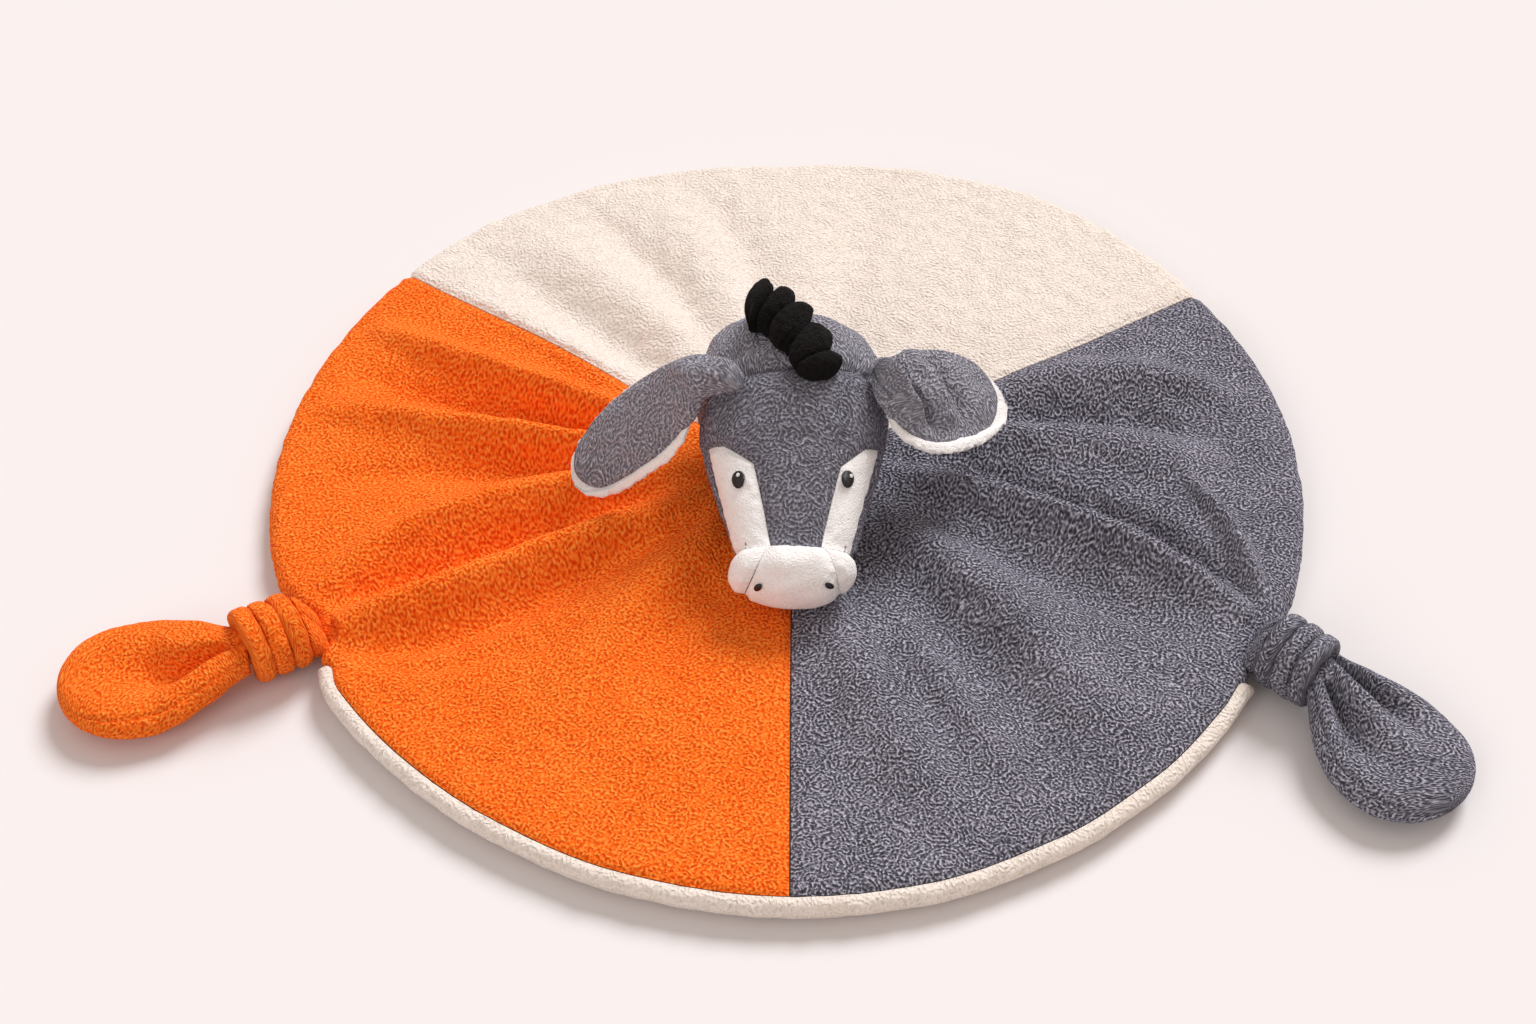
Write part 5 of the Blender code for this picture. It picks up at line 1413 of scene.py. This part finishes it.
# Stops of the tuft's line: the head's share and degrees, and the share of the lift
TUFT_PATH = (
    (0.352, 8.0, -0.1), (0.322, 7.5, -0.1), (0.288, 3.5, -0.1), (0.253, -2.5, 0),
    (0.220, -9.0, 0.15), (0.204, -17.5, 0.1), (0.200, -27.0, 0),
)
TUFT_BEND = 0.85


def tuft():
    """Rings along the crown: radius = waist + swell of |sin(turns of the twist)|.

    The underside keeps one size, so that the roll sits on the head all along.
    """
    t = np.linspace(0, 1, TUFT_RINGS)
    share, degrees, lift = smooth_through(evenly(TUFT_PATH), t).T
    normal = head_normal(share, degrees)
    size = TUFT_RADIUS * eased(TUFT_SIZE, t)
    height = TUFT_FLAT * size + TUFT_SEAT + lift * TUFT_LIFT
    path = head_point(share, degrees) + normal * height[:, None]
    along = ways_along(path, TUFT_BEND)
    across = unit(np.cross(along, normal))
    up = np.cross(across, along)
    angle, t = circle(TUFT_SIDES)[None], t[:, None]
    twist = pi * t * TUFT_LOBES + (angle - pi / 2) / 2 + 0.3 * np.sin(9 * t)
    inner = np.clip(np.minimum(t, 1 - t) / TUFT_END, 0, 1)
    waist = TUFT_WAIST + (TUFT_SWELL - TUFT_WAIST) * np.abs(np.sin(twist)) ** 0.65
    lobe = TUFT_END_LOBE + (waist - TUFT_END_LOBE) * smoothstep(inner)
    lobe = lobe + (TUFT_UNDERSIDE - lobe) * np.clip(-1.6 * np.sin(angle), 0, 1)
    ends = np.sqrt(1 - (1 - inner) ** 2 * (1 - TUFT_TIP_SHARE ** 2))
    pleats = TUFT_PLEAT * np.cos(7 * angle + 2.2 * twist) * np.abs(np.sin(twist))
    reach = (size[:, None] * lobe + pleats) * ends
    rings = rings_along(path, across, up, reach * np.cos(angle), reach * np.sin(angle) * TUFT_FLAT)
    rings = ruffle(rings, path[:, None], TUFT_NAP, 81, ends)
    dress(tube_piece("fleece_mane", rings, BLACK), "head", "mane_tuft")


tuft()

# %% [markdown]
# At each knot the edge of the blanket is gathered to a core, and a strip of the
# same plush is wound round it. The strip is a rounded band carried along a
# helix. Its turns lie close, so only a groove shows between them.

# %% Knots
KNOT_RADIUS = 0.0130
KNOT_INNER = 0.0058
CORE_WIDE = 0.0106
CORE_RINGS = 120
CORE_SIDES = 96
STRAND_HEIGHT = 0.0098
ROOT_SINK = 0.0012
TUCK_REACH = 0.0040
KNOT_BAND = 0.0078
KNOT_TURNS = 2.55
KNOT_TURN_GAP = 0.0007
KNOT_ROOT_LENGTH = 0.0040
KNOT_BEND_LENGTH = 0.0012
KNOT_END_SHARE = 0.45
FLOOR_GAP = 0.0004
TAIL_JOINT_GAP = 0.0009
KNOT_LENGTH = KNOT_TURNS * (KNOT_BAND + KNOT_TURN_GAP) + KNOT_BAND * KNOT_END_SHARE
WOUND_SHOWN = 3
WOUND_TUCK = radians(60)
WOUND_LEVEL = 0.7
WOUND_SLACK = 0.0038
WOUND_SQUARENESS = 2.9
WOUND_PRESS = 0.00025
KNOT_VIEW = 60
WOUND_NAP = ((8.0, 0.00016), (3.0, 0.00004))
WOUND_RINGS = 210
BAND_SIDES = 44


def knot_frame(knot):
    """Root centre, way out, the knot's start, and its ways along and aside."""
    root, turn = radians(knot[0]), radians(knot[1])
    radial = level_way(root)
    centre = radial * roll_centre(knot[0]) + np.array([0, 0, EDGE_HEIGHT / 2])
    outward, sideways = level_way(turn), level_way(turn + pi / 2)
    start = centre + radial * (EDGE_HEIGHT / 2 + SAFE_GAP + KNOT_ROOT_LENGTH)
    start[2] = KNOT_RADIUS + FLOOR_GAP
    return centre, radial, start, outward, sideways


def tail_joint(knot):
    """Point on the knot's centre line where the tail starts."""
    _, _, start, outward, _ = knot_frame(knot)
    return start + outward * (KNOT_BEND_LENGTH + KNOT_LENGTH + GAP)


def knot_core(knot):
    """Rings along the gathered edge: an oval at the root, round inside the knot."""
    centre, radial, start, outward, _ = knot_frame(knot)
    first = centre + radial * (EDGE_HEIGHT / 2 - ROOT_SINK)
    bent = start + outward * KNOT_BEND_LENGTH
    near = bent + outward * 0.0010
    last = tail_joint(knot) - outward * TAIL_JOINT_GAP
    stops = (
        (0, *first, CORE_WIDE, 0.0054), (1, *((first + start) / 2), CORE_WIDE, 0.0078),
        (2, *bent, 0.0104, STRAND_HEIGHT), (2.3, *near, 0.0080, 0.0080),
        (3, *((bent + last) / 2), KNOT_INNER, KNOT_INNER), (4, *last, KNOT_INNER, KNOT_INNER),
    )
    rows = smooth_through(stops, np.linspace(0, 4, CORE_RINGS))
    path, wide, tall = rows[:, :3], rows[:, 3:4], rows[:, 4:5]
    ways = np.gradient(path, axis=0) * (1, 1, 0)
    ways[:6] = radial
    ways[CORE_RINGS // 2:] = outward
    asides = unit(np.stack([-ways[:, 1], ways[:, 0], ways[:, 2]], axis=-1))
    angle = circle(CORE_SIDES)[None]
    crease = bell(np.cos(angle) - 0.15, 0.16) * (np.sin(angle) > 0)
    strands = bell(wide - STRAND_HEIGHT, 0.003)
    gather = 1 - 0.50 * strands * crease + 0.02 * np.cos(9 * angle)
    upright = np.broadcast_to([0, 0, 1.0], path.shape)
    rings = rings_along(path, asides, upright, np.cos(angle) * wide, np.sin(angle) * tall * gather)
    rings[..., 2] = np.maximum(rings[..., 2], FLOOR_GAP)
    return rings, ("blanket", centre, start)


def knot_wrap(knot, seed):
    """Rings of a rounded strip along a helix, whose two ends are tucked in."""
    _, _, start, outward, sideways = knot_frame(knot)
    half_thick = (KNOT_RADIUS - KNOT_INNER) / 2
    middle = KNOT_INNER + half_thick
    view = radians(KNOT_VIEW if sideways[1] < 0 else FULL_TURN / 2 - KNOT_VIEW)
    half_wound = pi * (WOUND_SHOWN - 0.5)
    wound = np.linspace(-1, 1, WOUND_RINGS) * (half_wound + WOUND_TUCK)
    angle = view + wound
    held = np.clip(wound, -half_wound, half_wound)
    steps = (held - WOUND_LEVEL * np.sin(held)) / (2 * pi)
    length = KNOT_LENGTH - WOUND_SLACK
    pitch = length / (steps[-1] - steps[0] + 1)
    along = KNOT_BEND_LENGTH + length / 2 + pitch * steps
    shown = smoothstep(np.clip((half_wound + WOUND_TUCK - np.abs(wound)) / WOUND_TUCK, 0, 1))
    upright = np.array([0, 0, 1.0])
    out = np.outer(np.cos(angle), sideways) + np.outer(np.sin(angle), upright)
    round_way = np.outer(-np.sin(angle), sideways) + np.outer(np.cos(angle), upright)
    lean = np.arctan(pitch / (2 * pi * middle))
    side_way = outward * cos(lean) - round_way * sin(lean)
    reach = TUCK_REACH + (middle - TUCK_REACH) * shown
    path = start + np.outer(along, outward) + out * reach[:, None]
    turn = circle(BAND_SIDES)
    cross, thick = signed_power([np.cos(turn), np.sin(turn)], 2 / WOUND_SQUARENESS)
    full = (0.3 + 0.7 * shown)[:, None]
    rings = rings_along(path, side_way, out, (pitch / 2 + WOUND_PRESS) * full * cross,
                        half_thick * full * thick)
    return ruffle(rings, path[:, None], WOUND_NAP, seed, shown[:, None])


for word, knot, material, seed in (("orange", ORANGE_KNOT, ORANGE, 91),
                                   ("grey", GREY_KNOT, GREY, 95)):
    body, slot = word + "_knot", word + "_plush"
    rings, sewn = knot_core(knot)
    core = tube_piece(word + "_gathered_core", rings, material)
    dress(core, body, body + "_core", sewn)
    band = tube_piece(word + "_wound_band", knot_wrap(knot, seed), material)
    dress(band, body, body + "_wrap")

# %% [markdown]
# The tails are the corners that stick out of the knots: plump leaves of plush,
# seamed along one side. The pull of the knot leaves a deep crease in the orange
# one, and two creases with a ridge between them in the grey one.

# %% Tails
TAIL_LENGTH = 0.0572
TAIL_WIDTH = 0.0480
TAIL_THICKNESS = 0.0150
TAIL_START = -0.115
TAIL_END = 0.985
TAIL_WIDEST = 0.58
TAIL_ROOT_WIDE = 0.34
TAIL_THICK = ((0, 0.86), (0.25, 1.08), (0.6, 1.0), (1, 0.86))
TAIL_NAP = ((11.0, 0.00014), (3.4, 0.00003))
TAIL_CLOSE = (0.80, 0.20)
TAIL_SEAM = 0.16
TAIL_SEAM_PLACE = 0.84
TAIL_SEAM_WIDTH = 0.022
NEARLY_SHUT = 1.0004
TAIL_RINGS = 121
TAIL_SIDES = 160
# Creases: stops of the place along, the place across, the depth as a share of the
# half thickness, and the half width as a share of the tail's
ORANGE_CREASES = (
    ((0.0, 0.10, 0.30, 0.10), (0.15, 0.12, 0.95, 0.13), (0.35, 0.16, 1.25, 0.22),
     (0.55, 0.05, 0.95, 0.36), (0.75, -0.05, 0.50, 0.45), (1.0, -0.1, 0.0, 0.4)),
)
GREY_CREASES = (
    ((0.0, -0.30, 0.3, 0.14), (0.18, -0.32, 1.05, 0.17), (0.38, -0.36, 1.0, 0.22),
     (0.60, -0.34, 0.55, 0.28), (0.85, -0.3, 0.0, 0.3)),
    ((0.0, 0.42, 0.3, 0.12), (0.18, 0.42, 0.95, 0.14), (0.38, 0.42, 0.75, 0.18),
     (0.62, 0.40, 0.25, 0.2), (0.85, 0.4, 0.0, 0.2)),
)


def tail(knot, creases, seam_side, seed):
    """Rings of a leaf: height = sin(angle) * thickness, less each crease's bell."""
    root, turn = tail_joint(knot), radians(knot[2])
    outward, sideways = level_way(turn), level_way(turn + pi / 2)
    t = 1 - (1 - np.linspace(0, 1, TAIL_RINGS)) ** 1.6
    along = TAIL_START + (TAIL_END - TAIL_START) * t
    near = np.clip(t / TAIL_WIDEST, 0, 1)
    far = np.clip((t - TAIL_WIDEST) / (1 - TAIL_WIDEST), 0, 1)
    wide = TAIL_ROOT_WIDE + (1 - TAIL_ROOT_WIDE) * np.sin(near * pi / 2) ** 1.15
    wide = wide * np.sqrt(NEARLY_SHUT - far ** 2.3)
    close = np.sqrt(NEARLY_SHUT - np.clip((t - TAIL_CLOSE[0]) / TAIL_CLOSE[1], 0, 1) ** 2)
    thick = eased(TAIL_THICK, t) * close ** 0.9
    angle = circle(TAIL_SIDES)[None]
    across, crest = np.cos(angle), np.sin(angle)
    hollow = 0
    for crease in creases:
        line = smooth_through(crease, t)
        hollow = hollow + line[:, 1:2] * bell(across - line[:, 0:1], line[:, 2:3])
    lifted = signed_power(crest, 0.85) - hollow * (crest > 0) * np.abs(crest) ** 0.5
    apart = across - seam_side * TAIL_SEAM_PLACE
    seam = bell(apart * (crest > 0) + (crest <= 0), TAIL_SEAM_WIDTH)
    lifted = lifted - TAIL_SEAM * seam * eased(((0.8, 1), (1, 0)), t)[:, None]
    rest = TAIL_THICKNESS / 2 + FLOOR_GAP
    level = root[2] + (rest - root[2]) * np.minimum(1, t * 2) ** 1.2
    rings = (root + outward * (TAIL_LENGTH * along + TAIL_JOINT_GAP * 0.2)[:, None])[:, None]
    rings = rings + (across * TAIL_WIDTH / 2 * wide[:, None])[..., None] * sideways
    rings[..., 2] = level[:, None] + lifted * TAIL_THICKNESS / 2 * thick[:, None]
    middle = rings.mean(axis=1, keepdims=True)
    rings = ruffle(rings, middle, TAIL_NAP, seed, close[:, None])
    rings[..., 2] = np.maximum(rings[..., 2], FLOOR_GAP / 2)
    return rings


for word, knot, creases, seam_side, material, seed in (
        ("orange", ORANGE_KNOT, ORANGE_CREASES, 1, ORANGE, 101),
        ("grey", GREY_KNOT, GREY_CREASES, -1, GREY, 105)):
    piece = tube_piece(word + "_plush_tail", tail(knot, creases, seam_side, seed), material)
    dress(piece, word + "_tail", word + "_tail")
